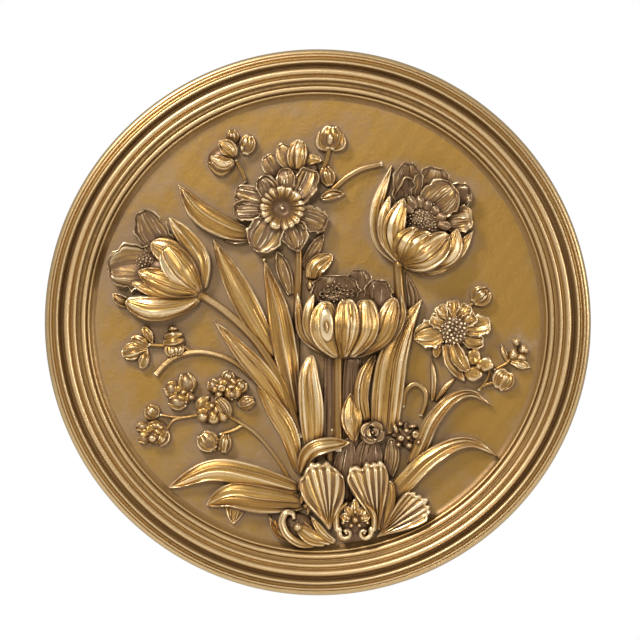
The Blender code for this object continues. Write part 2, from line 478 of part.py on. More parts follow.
def join_relief(plaque, pieces):
    """One casting from the dish and every solid of the relief."""
    union = plaque.modifiers.new("cast in one", "BOOLEAN")
    union.operation = "UNION"
    union.solver = "EXACT"
    union.operand_type = "COLLECTION"
    union.collection = pieces
    bpy.context.view_layer.update()
    graph = bpy.context.evaluated_depsgraph_get()
    cast = bpy.data.meshes.new_from_object(plaque.evaluated_get(graph))
    plaque.modifiers.remove(union)
    bm = bmesh.new()
    bm.from_mesh(cast)
    bmesh.ops.remove_doubles(bm, verts=bm.verts, dist=WELD)
    bmesh.ops.dissolve_limit(bm, angle_limit=FLAT_ANGLE, verts=bm.verts, edges=bm.edges)
    bmesh.ops.triangulate(bm, faces=bm.faces, quad_method="BEAUTY", ngon_method="BEAUTY")
    bm.to_mesh(cast)
    bm.free()
    cast.name = "plaque"
    plaque.data = cast
    thinned = plaque.modifiers.new("fewer faces", "DECIMATE")
    thinned.ratio = KEPT_FACES


def main():
    """Build the plaque and stand it against the wall plane."""
    clear_scene()
    parts = new_collection("wall plaque")
    pieces = new_collection("relief pieces")
    plaque = make_dish(parts)
    groups = (upper_buds, daffodil, back_flower, left_tulip, right_tulip, centre_tulip, long_leaves, stems,
              left_sprigs, lower_left_leaves, anemone, right_sprigs, right_leaves, rosette_and_berries,
              shells, medallion_and_scrolls)
    for group in groups:
        group(Relief(group.__name__, pieces))
    join_relief(plaque, pieces)
    plaque.data.materials.clear()
    plaque.data.materials.append(gold_material())
    plaque.data.shade_smooth()
    plaque.data.set_sharp_from_angle(angle=SHARP_ANGLE)
    plaque.rotation_euler = (math.radians(90), 0.0, 0.0)


main()
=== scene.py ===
"""The looks of a round gilded wall plaque with flowers in high relief.

The relief is drawn lying flat: x to the right, y up and h out of the field, in units of a hundredth of
the field's radius. stand_up then puts a point on the hanging plaque, whose front looks towards -Y.
"""

import logging
import math
from dataclasses import dataclass, replace
from enum import Enum

import bpy
import numpy as np
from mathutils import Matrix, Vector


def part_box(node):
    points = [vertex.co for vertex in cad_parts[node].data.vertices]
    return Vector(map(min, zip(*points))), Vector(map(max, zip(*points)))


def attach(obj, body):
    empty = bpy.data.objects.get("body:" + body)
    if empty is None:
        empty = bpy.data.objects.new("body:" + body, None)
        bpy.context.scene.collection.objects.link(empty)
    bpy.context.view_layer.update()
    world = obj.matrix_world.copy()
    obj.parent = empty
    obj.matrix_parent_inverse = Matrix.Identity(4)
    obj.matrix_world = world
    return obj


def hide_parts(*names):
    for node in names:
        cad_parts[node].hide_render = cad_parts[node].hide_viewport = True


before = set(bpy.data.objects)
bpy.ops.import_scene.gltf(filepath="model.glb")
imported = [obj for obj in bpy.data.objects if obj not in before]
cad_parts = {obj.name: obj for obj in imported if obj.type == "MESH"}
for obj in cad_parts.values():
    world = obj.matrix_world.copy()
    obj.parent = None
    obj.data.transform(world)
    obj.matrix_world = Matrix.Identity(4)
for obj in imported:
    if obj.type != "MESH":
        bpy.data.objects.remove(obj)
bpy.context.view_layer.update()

log = logging.getLogger("plaque")

# Driving sizes, in metres; the plaque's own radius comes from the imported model
LOW_CORNER, HIGH_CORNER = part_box("plaque")
PLAQUE_RADIUS = (HIGH_CORNER.x - LOW_CORNER.x) / 2
FRAME_WIDTH = 0.0374
FIELD_THICKNESS = 0.0070
FIELD_RADIUS = PLAQUE_RADIUS - FRAME_WIDTH
UNIT = FIELD_RADIUS / 100
MM = 0.001

# The reference photograph: its side in pixels, and the plaque's centre and radius in it
PHOTO_SIDE = 640
PHOTO_CENTRE = (317.8, 322.3)
PHOTO_RADIUS = 273.0

# Heights of the relief, in units: the lowest edge, and how deep the walls reach below the field
LOWEST = 0.3
ROOT = -1.2
ROOT_STEP = -0.002

# The walls below a surface: share of the way down, and share of the way in to the core
WALLS = ((0.22, 0.07), (0.6, 0.16), (1.0, 0.2))
# Glaze on the walls below a surface, which paints the shade beneath it
WALL_GLAZE_AND_SHADE = 0.5

# How every blade is cut, in units or as shares of its length and half width
ROW_CROWDING = 1.35
COLUMN_CROWDING = 0.72
FOOT_ROUNDED, FOOT_NARROWED, FOOT_DROP = 0.07, 0.4, 1.6
BODY_GROWN, BODY_FADES, BODY_FADE = 0.12, 0.78, 0.7
FLUTE_POWER, FLUTE_MIDDLE, FLUTE_FULL = 0.55, 0.6, 2.0
RIM_PLACE, RIM_SPREAD, RIM_FULL = 0.55, 0.34, 1.6
GROOVE_PLACE, GROOVE_SPREAD, GROOVE_SHARE = 1.3, 0.45, 0.6
KEEL_SPREAD = 0.09
SCALLOP_FROM = 0.6

# How every fan is cut
FAN_START, FAN_GROWN = 0.05, 0.35
FLUTE_COLUMNS = 10
FAN_RIM_PLACE, FAN_RIM_SPREAD = 1.0, 0.7
FAN_GROOVE_PLACE, FAN_GROOVE_SPREAD, FAN_GROOVE_SHARE = 2.6, 0.6, 0.3
FAN_EDGE, FAN_EDGE_DROP = 0.9, 1.2

GOLDEN_ANGLE = math.pi * (3 - math.sqrt(5))
SHARP_ANGLE = math.radians(65)


class Tip(Enum):
    """How a blade's end closes: the power of its narrowing."""

    ROUND = 0.5
    BLUNT = 0.35
    LEAF = 0.75
    POINTED = 1.0


@dataclass(frozen=True)
class Wave:
    """A slow wave over a surface: its size, its turns across and along, and the phase it takes."""

    size: float
    across: float
    along: float
    phase: int

    def at(self, across: np.ndarray, along: np.ndarray, phases: np.ndarray) -> np.ndarray:
        """The wave's value at each place."""
        return self.size * np.sin(self.across * across + self.along * along + phases[self.phase])


def waves(several: tuple[Wave, ...], across: np.ndarray, along: np.ndarray, phases: np.ndarray) -> np.ndarray:
    """The sum of several waves at each place."""
    return sum(wave.at(across, along, phases) for wave in several)


# Waves of a blade: its sway, its uneven folds, its waver and its random stripes of tone
SWAY = (Wave(0.10, 6.6, 1.4, 0), Wave(0.05, 13.0, -2.2, 1))
UNEVEN_FOLDS = (Wave(0.3, 4.1, 0.0, 2), Wave(0.15, 0.0, 5.0, 3))
WAVER = Wave(0.05, 3.0, 9.0, 5)
STREAKS = (Wave(0.6, 5.6, 0.8, 1), Wave(0.4, 13.0, -1.0, 7))

# Waves of a fan: its sway, its uneven flutes, its outline, its worn rim, and the tone of flutes and rim
FAN_SWAY = Wave(0.07, 4.0, 2.5, 0)
FAN_UNEVEN = Wave(0.35, 4.3, 1.5, 1)
FAN_OUTLINE = (Wave(1.0, 4.6, 0.0, 2), Wave(0.7, 10.5, 0.0, 3))
FAN_WORN = Wave(0.3, 7.0, 0.0, 4)
FAN_STREAKS = Wave(0.3, 9.0, 2.0, 2)
FAN_RIM_STREAKS = Wave(0.3, 11.0, 0.0, 0)


@dataclass(frozen=True)
class Section:
    """How a blade is cut across, in units.

    Crown lowers both edges, and below zero it raises them. Tilt raises the right edge over the left.
    Folds are broad rounded flutes, and veins fine lines. Lip is the raised rim, keel a middle ridge and
    edge how far in the rim is rounded over. Ripple is the waviness of the outline, scallop how far each
    fold's end stands out, and warp the waviness of the whole surface. Tone lightens it. Side light paints
    its right side lighter and its left darker, or the other way round below zero: painted light and shade.
    Stain is how much brown glaze it keeps, from 0 to 1.
    """

    crown: float = 0.8
    tilt: float = 0.0
    folds: int = 0
    fold: float = 0.5
    veins: int = 0
    vein: float = 0.07
    lip: float = 0.22
    keel: float = 0.0
    ripple: float = 0.0
    ripples: float = 3.0
    scallop: float = 0.0
    warp: float = 0.0
    tone: float = 0.0
    sheen: float = 0.0
    edge: float = 0.5
    stain: float = 0.0

    def but(self, **changes: float) -> "Section":
        """The same section with some changes."""
        return replace(self, **changes)

    def height(self, u: np.ndarray, v: np.ndarray, across: np.ndarray, width: np.ndarray, length: float,
               phases: np.ndarray) -> np.ndarray:
        """How high the surface stands over its spine.

        Args:
            u: Share of the way along, row by row.
            v: Place across from -1 to 1, column by column.
            across: The same place, swayed, at each point.
            width: Half the blade's width at each row.
            length: The blade's length.
            phases: Where its waves begin.

        Returns:
            The height at each point, in units.
        """
        fade = BODY_FADE * smooth_step((u - BODY_FADES) / (1 - BODY_FADES))
        body = smooth_step(u / BODY_GROWN) * (1 - fade)
        height = self.tilt * v - self.crown * v ** 2
        if self.folds:
            flute = np.abs(np.sin(0.5 * math.pi * self.folds * (across + 1))) ** FLUTE_POWER
            uneven = 0.8 + waves(UNEVEN_FOLDS, across, u, phases)
            depth = self.fold * body * uneven * np.minimum(width / FLUTE_FULL, 1)
            height = height + depth * (flute - FLUTE_MIDDLE)
        if self.veins:
            wander = 0.7 * np.sin(7 * u + phases[4])
            height = height + self.vein * body * np.cos(math.pi * self.veins * (across + 1) + wander)
        inward = np.minimum((1 - np.abs(v)) * width, 1.1 * (1 - u) * length + 0.02)
        worn = 0.8 + 0.3 * np.sin(8 * u + phases[5] * np.sign(v))
        groove = GROOVE_SHARE * ridge(inward, GROOVE_PLACE, GROOVE_SPREAD)
        rim = worn * ridge(inward, RIM_PLACE, RIM_SPREAD) - groove
        narrow = np.minimum(width / RIM_FULL, 1)
        height = height + narrow * (self.lip * rim + self.keel * ridge(v, 0.0, KEEL_SPREAD))
        height = height - rounding(inward, self.edge, self.edge)
        swell = self.warp * np.sin(5.5 * u + 1.7 * v + phases[6]) * np.cos(3.1 * v + phases[7])
        return height + body * (swell + WAVER.at(v, u, phases))


LEAF = Section(crown=1.1, folds=3, fold=1.05, veins=8, vein=0.13, lip=0.75, tone=-0.25)
STRAP = Section(crown=0.8, folds=5, fold=1.0, veins=11, vein=0.1, lip=0.5, tone=-0.1)
PETAL = Section(crown=2.6, folds=4, fold=1.2, veins=10, vein=0.13, lip=0.6)
INSIDE = Section(crown=-1.8, folds=2, fold=0.5, veins=11, vein=0.17, lip=0.85, ripple=0.06, warp=0.75,
                 stain=0.42)
SIDE = Section(crown=1.3, lip=0.55, folds=2, fold=0.4, veins=4, vein=0.08)
SMALL = Section(crown=1.3, lip=0.25, tone=-0.9, edge=0.45)
RIBBED = Section(crown=1.5, folds=3, fold=0.6, lip=0.25, tone=-0.8, edge=0.45)
FLUTED = Section(crown=0.6, folds=6, fold=1.2, lip=0.4)


def smooth_path(points: list[tuple[float, ...]], steps: int = 14) -> tuple[np.ndarray, np.ndarray]:
    """Points along a smooth curve through a few given ones.

    Args:
        points: The points (x, y, h) that the curve passes through, in units.
        steps: How many stretches each span is cut into.

    Returns:
        The points along the curve, and the share of its length at each.
    """
    knots = np.array(points, float)
    knots = np.vstack([2 * knots[0] - knots[1], knots, 2 * knots[-1] - knots[-2]])
    t = (np.arange(steps) / steps)[:, None]
    spans = []
    for a, b, c, d in zip(knots, knots[1:], knots[2:], knots[3:]):
        spans.append(0.5 * (2 * b + (c - a) * t + (2 * a - 5 * b + 4 * c - d) * t ** 2
                            + (3 * b - a - 3 * c + d) * t ** 3))
    path = np.vstack([*spans, knots[-2][None, :]])
    lengths = np.concatenate([[0.0], np.cumsum(np.linalg.norm(np.diff(path, axis=0), axis=1))])
    return path, lengths / lengths[-1]


def spiral(x: float, y: float, start: float, end: float, first: float, last: float,
           heights: tuple[float, float], count: int = 12) -> list[tuple[float, float, float]]:
    """Points along a spiral, for a volute.

    Args:
        x: Place of its middle to the right, in units.
        y: Place of its middle upwards, in units.
        start: Radius where it begins.
        end: Radius where it ends.
        first: Angle where it begins, in degrees.
        last: Angle where it ends, in degrees.
        heights: Height where it begins and where it ends.
        count: How many points there are.

    Returns:
        The points, as (x, y, h).
    """
    points = []
    for k in range(count):
        t = k / (count - 1)
        radius = start * (end / start) ** t
        angle = math.radians(first + (last - first) * t)
        height = heights[0] + (heights[1] - heights[0]) * t
        points.append((x + radius * math.cos(angle), y + radius * math.sin(angle), height))
    return points


def smooth_step(values: np.ndarray) -> np.ndarray:
    """A soft rise from 0 to 1, flat at both ends."""
    t = np.clip(values, 0.0, 1.0)
    return t * t * (3 - 2 * t)


def ridge(distance: np.ndarray, place: float, spread: float) -> np.ndarray:
    """A smooth ridge, 1 high, that runs at some distance."""
    return np.exp(-((distance - place) / spread) ** 2)


def rounding(distance: np.ndarray, reach: float, drop: float) -> np.ndarray:
    """How far a rounded edge drops, at a distance inwards from it: all of it at 0, nothing from reach on."""
    close = np.clip(1 - distance / reach, 0, 1)
    return drop * (1 - np.sqrt(np.clip(1 - close ** 2, 0, 1)))


def stand_up(points: np.ndarray) -> np.ndarray:
    """Points of the drawing, in units, as points of the hanging plaque, in metres."""
    return np.column_stack([points[:, 0] * UNIT, -(FIELD_THICKNESS + points[:, 2] * UNIT),
                            points[:, 1] * UNIT])


class Carving:
    """Closed shells of one piece of the relief, gathered as arrays before they become a mesh."""

    def __init__(self, seed: int) -> None:
        """Start an empty carving.

        Args:
            seed: What its small irregularities follow from.
        """
        self.points: list[np.ndarray] = []
        self.surfaces: list[np.ndarray] = []
        self.glaze_and_shade: list[np.ndarray] = []
        self.tones_and_light: list[np.ndarray] = []
        self.faces: list[list[int]] = []
        self.paths: list[tuple[np.ndarray, np.ndarray]] = []
        self.mounds: list[tuple[tuple[float, float, float], dict[str, float]]] = []
        self.total = 0
        self.chance = np.random.default_rng(seed)

    def add_shell(self, top: np.ndarray, faces: list[list[int]], rim: np.ndarray, core: np.ndarray,
                  stain: float | np.ndarray, tone_and_light: np.ndarray | None = None) -> None:
        """Run walls from a surface's rim down into the field and close them below.

        Args:
            top: The surface's points, in units.
            faces: Its faces, turned outwards.
            rim: Indices of its rim, anticlockwise from the front.
            core: The plan point under each rim point that its wall leans towards.
            stain: The glaze that the surface keeps.
            tone_and_light: The tone of each point, from -1 to 1, with any light or shade painted into it.
        """
        count = len(top)
        root = ROOT + ROOT_STEP * (len(self.points) % 100)
        rings = [top[rim]]
        for down, lean in WALLS:
            ring = top[rim].copy()
            ring[:, :2] += (core - ring[:, :2]) * lean
            ring[:, 2] += (root - ring[:, 2]) * down
            rings.append(ring)
        size = len(rim)
        follow = np.roll(np.arange(size), -1)
        walls = []
        upper = rim
        for level in range(len(rings) - 1):
            lower = count + level * size + np.arange(size)
            walls += np.column_stack([upper[follow], upper, lower, lower[follow]]).tolist()
            upper = lower
        points = np.vstack([top, *rings[1:]])
        shell = faces + walls + [upper[::-1].tolist()]
        self.points.append(points)
        below = len(points) - count
        # The walls take glaze that paints the shade beneath the surface
        self.glaze_and_shade.append(np.concatenate([np.full(count, stain), np.full(below, WALL_GLAZE_AND_SHADE)]))
        tones = np.zeros(count) if tone_and_light is None else tone_and_light
        self.tones_and_light.append(np.concatenate([tones, np.zeros(below)]))
        self.faces += [[corner + self.total for corner in face] for face in shell]
        self.total += len(points)

    def blade(self, spine: list[tuple[float, ...]], half: float, section: Section, taper: Tip = Tip.POINTED,
              peak: float = 0.5, foot: float = 0.5, tip: float = 0.06,
              grid: tuple[int, int] = (40, 31)) -> None:
        """A leaf or petal along a spine.

        Args:
            spine: Points (x, y, h) from its foot to its tip.
            half: Half its greatest width, in units.
            section: How it is cut across.
            taper: How its end closes.
            peak: Share of its length where it is widest.
            foot: Width at its foot, as a share of the greatest.
            tip: Width at its tip, as a share of the greatest.
            grid: Rows of points along it, and points across it.
        """
        rows, columns = grid
        path, shares = smooth_path(spine)
        share = 1.0 - (1.0 - np.linspace(0, 1, rows)) ** ROW_CROWDING
        centre = np.column_stack([np.interp(share, shares, path[:, k]) for k in range(3)])
        slope = np.gradient(path, axis=0)
        along = np.column_stack([np.interp(share, shares, slope[:, k]) for k in range(2)])
        along /= np.linalg.norm(along, axis=1)[:, None]
        length = np.linalg.norm(np.diff(path[:, :2], axis=0), axis=1).sum()
        spread = 0.5 * math.pi * COLUMN_CROWDING
        v = (np.sin(np.linspace(-1, 1, columns) * spread) / math.sin(spread))[None, :]
        u = share[:, None]
        rise = foot + (1 - foot) * np.sin(0.5 * math.pi * np.minimum(u / peak, 1))
        fall = tip + (1 - tip) * (1 - np.clip((u - peak) / (1 - peak), 0, 1) ** 2) ** taper.value
        start = 1 - rounding(u, FOOT_ROUNDED, 1.0)
        width = half * np.where(u < peak, rise, fall) * (FOOT_NARROWED + (1 - FOOT_NARROWED) * start)
        phases = self.chance.uniform(0, 2 * math.pi, 8)
        across = v + (1 - v ** 2) * waves(SWAY, v, u, phases)
        height = centre[:, 2:3] - FOOT_DROP * (1 - start)
        height = height + section.height(u, v, across, width, length, phases)
        turn = 2 * math.pi * section.ripples * u + phases[6] * np.sign(v)
        sway = section.ripple * (np.sin(turn) + 0.5 * np.sin(1.9 * turn + phases[2]))
        offset = width * v * (1 + sway * np.abs(v) ** 3)
        ends = -np.cos(math.pi * section.folds * (across + 1))
        run = section.scallop * ends * smooth_step((u - SCALLOP_FROM) / (1 - SCALLOP_FROM))
        x = centre[:, 0:1] + along[:, 1:2] * offset + along[:, 0:1] * run
        y = centre[:, 1:2] - along[:, 0:1] * offset + along[:, 1:2] * run
        top = np.stack([x, y, np.maximum(height, LOWEST)], axis=-1).reshape(-1, 3)
        # Besides random stripes, the tone paints light on one side of the blade and shade on the other
        tone = waves(STREAKS, across, u, phases) + section.tone + section.sheen * v
        self.add_grid(top, rows, columns, centre[:, :2], section.stain, tone.ravel())

    def add_grid(self, top: np.ndarray, rows: int, columns: int, core: np.ndarray, stain: float | np.ndarray,
                 tone_and_light: np.ndarray) -> None:
        """Close a grid of points, whose walls lean towards a core line.

        Args:
            top: The points, row after row.
            rows: How many rows there are.
            columns: How many points a row has.
            core: The plan point of the middle of each row.
            stain: The glaze that the surface keeps.
            tone_and_light: The tone of each point, with any light or shade painted into it.
        """
        index = np.arange(rows * columns).reshape(rows, columns)
        quads = np.stack([index[:-1, :-1], index[:-1, 1:], index[1:, 1:], index[1:, :-1]], axis=-1)
        rim = np.concatenate([index[0, :], index[1:, -1], index[-1, -2::-1], index[-2:0:-1, 0]])
        self.surfaces.append(top.reshape(rows, columns, 3))
        self.add_shell(top, quads.reshape(-1, 4).tolist(), rim, core[rim // columns], stain, tone_and_light)

    def disc(self, x: float, y: float, rx: float, ry: float, top: float, base: float = 0.4,
             turn: float = 0.0, lobes: int = 0, lobe: float = 0.0, crease: float = 0.0, dip: float = 0.0,
             dip_reach: float = 0.35, rough: float = 0.0, stain: float = 0.0,
             tone: float = -0.7, sides: int = 32, rings: int = 12) -> None:
        """A bud, berry or boss: a domed disc with its sides carried down into the field.

        Args:
            x: Place of its middle to the right.
            y: Place of its middle upwards.
            rx: Radius along its own first axis.
            ry: Radius along its own second axis.
            top: Height of its top.
            base: Height of its edge.
            turn: Turn of its axes, in degrees.
            lobes: How many lobes or creases it has round its edge.
            lobe: How far the lobes stand out, as a share of the radius.
            crease: Depth of the creases between the lobes.
            dip: Depth of a dimple in its middle.
            dip_reach: Radius of the dimple, as a share.
            rough: How crumpled it is.
            stain: The glaze that its surface keeps.
            tone: How much lighter it is than plain gold, from -1 to 1.
            sides: Points round it.
            rings: Rings of points from its middle to its edge.
        """
        reach = np.sin(0.5 * math.pi * np.arange(1, rings + 1) / rings)[:, None]
        angle = (2 * math.pi * np.arange(sides) / sides)[None, :]
        phase = self.chance.uniform(0, 2 * math.pi)
        swell = 1 + lobe * np.cos(lobes * angle + phase) if lobes else np.ones_like(angle)
        height = base + (top - base) * np.sqrt(np.clip(1 - reach ** 2, 0, 1)) + 0 * angle
        if lobes:
            valley = np.abs(np.cos(0.5 * (lobes * angle + phase))) ** 0.6
            height = height - crease * (1 - valley) * smooth_step(reach / 0.5)
        height = height - dip * ridge(reach, 0.0, dip_reach)
        u, w = reach * rx * swell * np.cos(angle), reach * ry * swell * np.sin(angle)
        crumple = np.sin(3.7 * u + 1.6 * np.sin(2.1 * w + phase)) * np.sin(3.3 * w + 1.8 * np.sin(2.4 * u))
        height = height + rough * crumple * (1 - reach ** 6)
        c, s = math.cos(math.radians(turn)), math.sin(math.radians(turn))
        grid = np.stack([x + c * u - s * w, y + s * u + c * w, np.maximum(height, LOWEST)], axis=-1)
        self.add_polar(np.array([x, y, top - dip]), grid, stain, tone)

    def fan(self, x: float, y: float, reach: float, turn: float, spread: float, low: float, high: float,
            flutes: int = 6, flute: float = 1.1, scallop: float = 0.0, wave: float = 0.035, lip: float = 1.5,
            bulge: float = 0.2, dish: float = 1.1, drops: tuple[float, float] = (0.15, 0.3),
            rows: int = 52, stain: float = 0.3) -> None:
        """A shell or fan: flutes that spread from a foot into a hollow with a rolled rim.

        Args:
            x: Place of its foot to the right.
            y: Place of its foot upwards.
            reach: Its length.
            turn: Its lean from upright, anticlockwise in degrees.
            spread: Half the angle that it opens, in degrees.
            low: Height at its foot.
            high: Height at its rim.
            flutes: How many flutes it has.
            flute: Their depth.
            scallop: How far each flute's end stands out, as a share of its length.
            wave: How wavy its outline is, as a share of its length.
            lip: Height of the rolled rim.
            bulge: How far its sides swell, as a share.
            dish: How far its sides rise over its middle.
            drops: How much shorter its left and right sides are, as shares.
            rows: Rows of points along it.
            stain: The glaze that its surface keeps.
        """
        columns = FLUTE_COLUMNS * flutes + 1
        u = np.linspace(FAN_START, 1, rows)[:, None]
        v = np.linspace(-1, 1, columns)[None, :]
        phases = self.chance.uniform(0, 2 * math.pi, 5)
        across = v + FAN_SWAY.at(v, u, phases) * (1 - v ** 2)
        rib = (0.5 - 0.5 * np.cos(math.pi * flutes * (across + 1))) ** 0.8
        uneven = 0.85 + FAN_UNEVEN.at(v, u, phases)
        side = np.where(v < 0, drops[0], drops[1]) * np.abs(v) ** 3
        outline = 1 + u ** 2 * (wave * waves(FAN_OUTLINE, v, u, phases) + scallop * uneven * (rib - 0.5))
        length = reach * (1 - side) * outline
        opened = spread * (0.62 + 0.38 * np.sqrt(u)) * (1 + bulge * np.sin(math.pi * u))
        angle = np.radians(turn - opened * v)
        edge = np.minimum((1 - u) * reach, (1 - np.abs(v)) * length * u * np.radians(opened))
        grown = smooth_step(u / FAN_GROWN)
        height = low + (high - low) * np.sin(0.5 * math.pi * u ** 0.8) + dish * (v ** 2 - 0.5) * grown
        height = height + flute * uneven * (rib - 0.5) * grown * (1 - 0.25 * smooth_step((u - 0.7) / 0.3))
        height = height + 0.10 * np.cos(3 * math.pi * flutes * (across + 1)) * grown
        rim = (0.85 + FAN_WORN.at(v, u, phases)) * ridge(edge, FAN_RIM_PLACE, FAN_RIM_SPREAD)
        groove = FAN_GROOVE_SHARE * ridge(edge, FAN_GROOVE_PLACE, FAN_GROOVE_SPREAD)
        height = height + lip * grown * (rim - groove)
        height = height - rounding(edge, FAN_EDGE, FAN_EDGE_DROP)
        top = np.stack([x - length * u * np.sin(angle), y + length * u * np.cos(angle),
                        np.maximum(height, LOWEST)], axis=-1).reshape(-1, 3)
        turned = math.radians(turn)
        core = np.column_stack([x - reach * u * math.sin(turned), y + reach * u * math.cos(turned)])
        # Flute crests lighter and the hollows between them darker: painted highlight and painted shade; the
        # rim takes random stripes of its own
        tone = 0.8 * (2 * rib - 1) + FAN_STREAKS.at(across, u, phases)
        tone = np.where(edge < 1.7, 0.1 + FAN_RIM_STREAKS.at(v, u, phases), tone)
        glaze = stain * smooth_step((edge - 1.6) / 1.2)
        self.add_grid(top, rows, columns, core, glaze.ravel(), tone.ravel())

    def add_polar(self, middle: np.ndarray, grid: np.ndarray, stain: float | np.ndarray,
                  tone: float = 0.0) -> None:
        """Close rings of points round a middle one.

        Args:
            middle: The middle point.
            grid: The points, ring after ring outwards, each anticlockwise from the front.
            stain: The glaze that the surface keeps.
            tone: How much lighter it is than plain gold, from -1 to 1.
        """
        rings, sides = grid.shape[:2]
        index = 1 + np.arange(rings * sides).reshape(rings, sides)
        ahead = np.roll(index, -1, axis=1)
        fan = np.stack([np.zeros(sides, int), index[0], ahead[0]], axis=-1)
        quads = np.stack([index[:-1], index[1:], ahead[1:], ahead[:-1]], axis=-1)
        top = np.vstack([middle[None, :], grid.reshape(-1, 3)])
        core = np.tile(middle[:2], (sides, 1))
        self.surfaces.append(np.concatenate([grid, grid[:, :1]], axis=1))
        self.add_shell(top, fan.tolist() + quads.reshape(-1, 4).tolist(), index[-1], core, stain,
                       np.full(len(top), tone))

    def bud(self, x: float, y: float, rx: float, ry: float, top: float, turn: float = 0.0,
            petals: int = 3, section: Section = SMALL) -> None:
        """A closed bud: a round body wrapped by petals that rise from its foot.

        Args:
            x: Place of its middle to the right.
            y: Place of its middle upwards.
            rx: Half its width.
            ry: Half its height, along its axis.
            top: Height of its front.
            turn: Turn of its axis from upright, anticlockwise in degrees.
            petals: How many petals wrap it.
            section: How the petals are cut.
        """
        self.disc(x, y, rx, ry, top - 0.5, turn=turn, base=0.8, sides=28, rings=8, stain=0.35)
        section = section.but(crown=section.crown * min(1.0, rx / 4.0))
        c, s = math.cos(math.radians(turn)), math.sin(math.radians(turn))
        order = sorted(range(petals), key=lambda k: -abs(k - 0.5 * (petals - 1)))
        for k in order:
            lean = 0.0 if petals == 1 else 2.0 * k / (petals - 1) - 1.0
            front = 1.0 - abs(lean)
            local = ((0.10 * lean, -0.98, top - 2.2), (0.64 * lean, -0.28, top - 0.5 - 1.3 * abs(lean)),
                     (0.66 * lean, 0.25, top + 0.4 - 1.5 * abs(lean)),
                     (0.34 * lean, 0.92 - 0.06 * front, top - 1.5))
            spine = [(x + rx * c * u - ry * s * v, y + rx * s * u + ry * c * v, h) for u, v, h in local]
            self.blade(spine, rx * (0.42 + 0.14 * front), section, Tip.ROUND, foot=0.45, tip=0.2,
                       grid=(18, 13))

    def stem(self, points: list[tuple[float, ...]], half: float, thin: float = 0.9) -> None:
        """Note a round stem, to be grown along its path later.

        Args:
            points: Points (x, y, h) along its top.
            half: Half its width, in units.
            thin: Its width at the end, as a share.
        """
        path, shares = smooth_path(points, 8)
        radii = half * (1 + (thin - 1) * shares)
        path[:, 2] -= radii
        self.paths.append((path, radii))

    def stamens(self, x: float, y: float, base: float, **settings: float) -> None:
        """Note a mound of stamens, to be grown later: its middle, its foot's height and the tree's inputs."""
        self.mounds.append(((x, y, base), settings))

    def grow(self, trees: "Trees", finish: bpy.types.Material) -> None:
        """Grow the stems and the stamens that were noted.

        Args:
            trees: The shared Geometry Nodes trees.
            finish: The material they are made in.
        """
        if self.paths:
            points = np.vstack([path for path, _ in self.paths])
            edges, start = [], 0
            for path, _ in self.paths:
                edges += [(k, k + 1) for k in range(start, start + len(path) - 1)]
                start += len(path)
            source = bpy.data.meshes.new("paths")
            source.from_pydata(points.tolist(), edges, [])
            width = source.attributes.new("thickness", "FLOAT", "POINT")
            width.data.foreach_set("value", np.concatenate([radii for _, radii in self.paths]))
            self.add_mesh(trees.stem.make("stems", source, finish, {}), (0, 0, 0), -0.05, tone=-0.9)
        for place, settings in self.mounds:
            source = bpy.data.meshes.new("mound")
            self.add_mesh(trees.stamen.make("stamens", source, finish, settings), place, 0.55)

    def add_mesh(self, mesh: bpy.types.Mesh, place: tuple[float, float, float], stain: float,
                 tone: float = 0.0) -> None:
        """Take in a closed mesh that is drawn in units.

        Args:
            mesh: The mesh, which is removed afterwards.
            place: Where its origin goes, in units.
            stain: The glaze that it keeps.
            tone: How much lighter it is than plain gold, from -1 to 1.
        """
        flat = np.empty(3 * len(mesh.vertices))
        mesh.vertices.foreach_get("co", flat)
        points = flat.reshape(-1, 3) + np.array(place, float)
        self.points.append(points)
        self.surfaces.append(points[None, :, :])
        self.glaze_and_shade.append(np.full(len(points), stain))
        self.tones_and_light.append(np.full(len(points), tone))
        self.faces += [[corner + self.total for corner in face.vertices] for face in mesh.polygons]
        self.total += len(points)
        bpy.data.meshes.remove(mesh)

    def stand(self, name: str, finish: bpy.types.Material) -> bpy.types.Object:
        """The carving as an object on the hanging plaque.

        Args:
            name: The piece's name.
            finish: Its material.

        Returns:
            The new object, with the glaze, and painted shade on its walls, kept in its attribute stain, and
            its tone, with light and shade painted into it, in tone_and_light.
        """
        mesh = bpy.data.meshes.new(name)
        mesh.from_pydata(stand_up(np.vstack(self.points)).tolist(), [], self.faces)
        mesh.update()
        # stain holds the glaze and, on the walls, painted shade; the tone holds random stripes and painted
        # light and shade
        PatinaAndPaintedLight.write(mesh, "stain", np.concatenate(self.glaze_and_shade))
        PatinaAndPaintedLight.write(mesh, "tone_and_light", np.concatenate(self.tones_and_light))
        mesh.materials.append(finish)
        return new_object(name, mesh)


def new_object(name: str, mesh: bpy.types.Mesh) -> bpy.types.Object:
    """Put a mesh into the scene.

    Args:
        name: The new object's name.
        mesh: Its mesh.

    Returns:
        The object, at the origin.
    """
    piece = bpy.data.objects.new(name, mesh)
    bpy.context.scene.collection.objects.link(piece)
    return piece


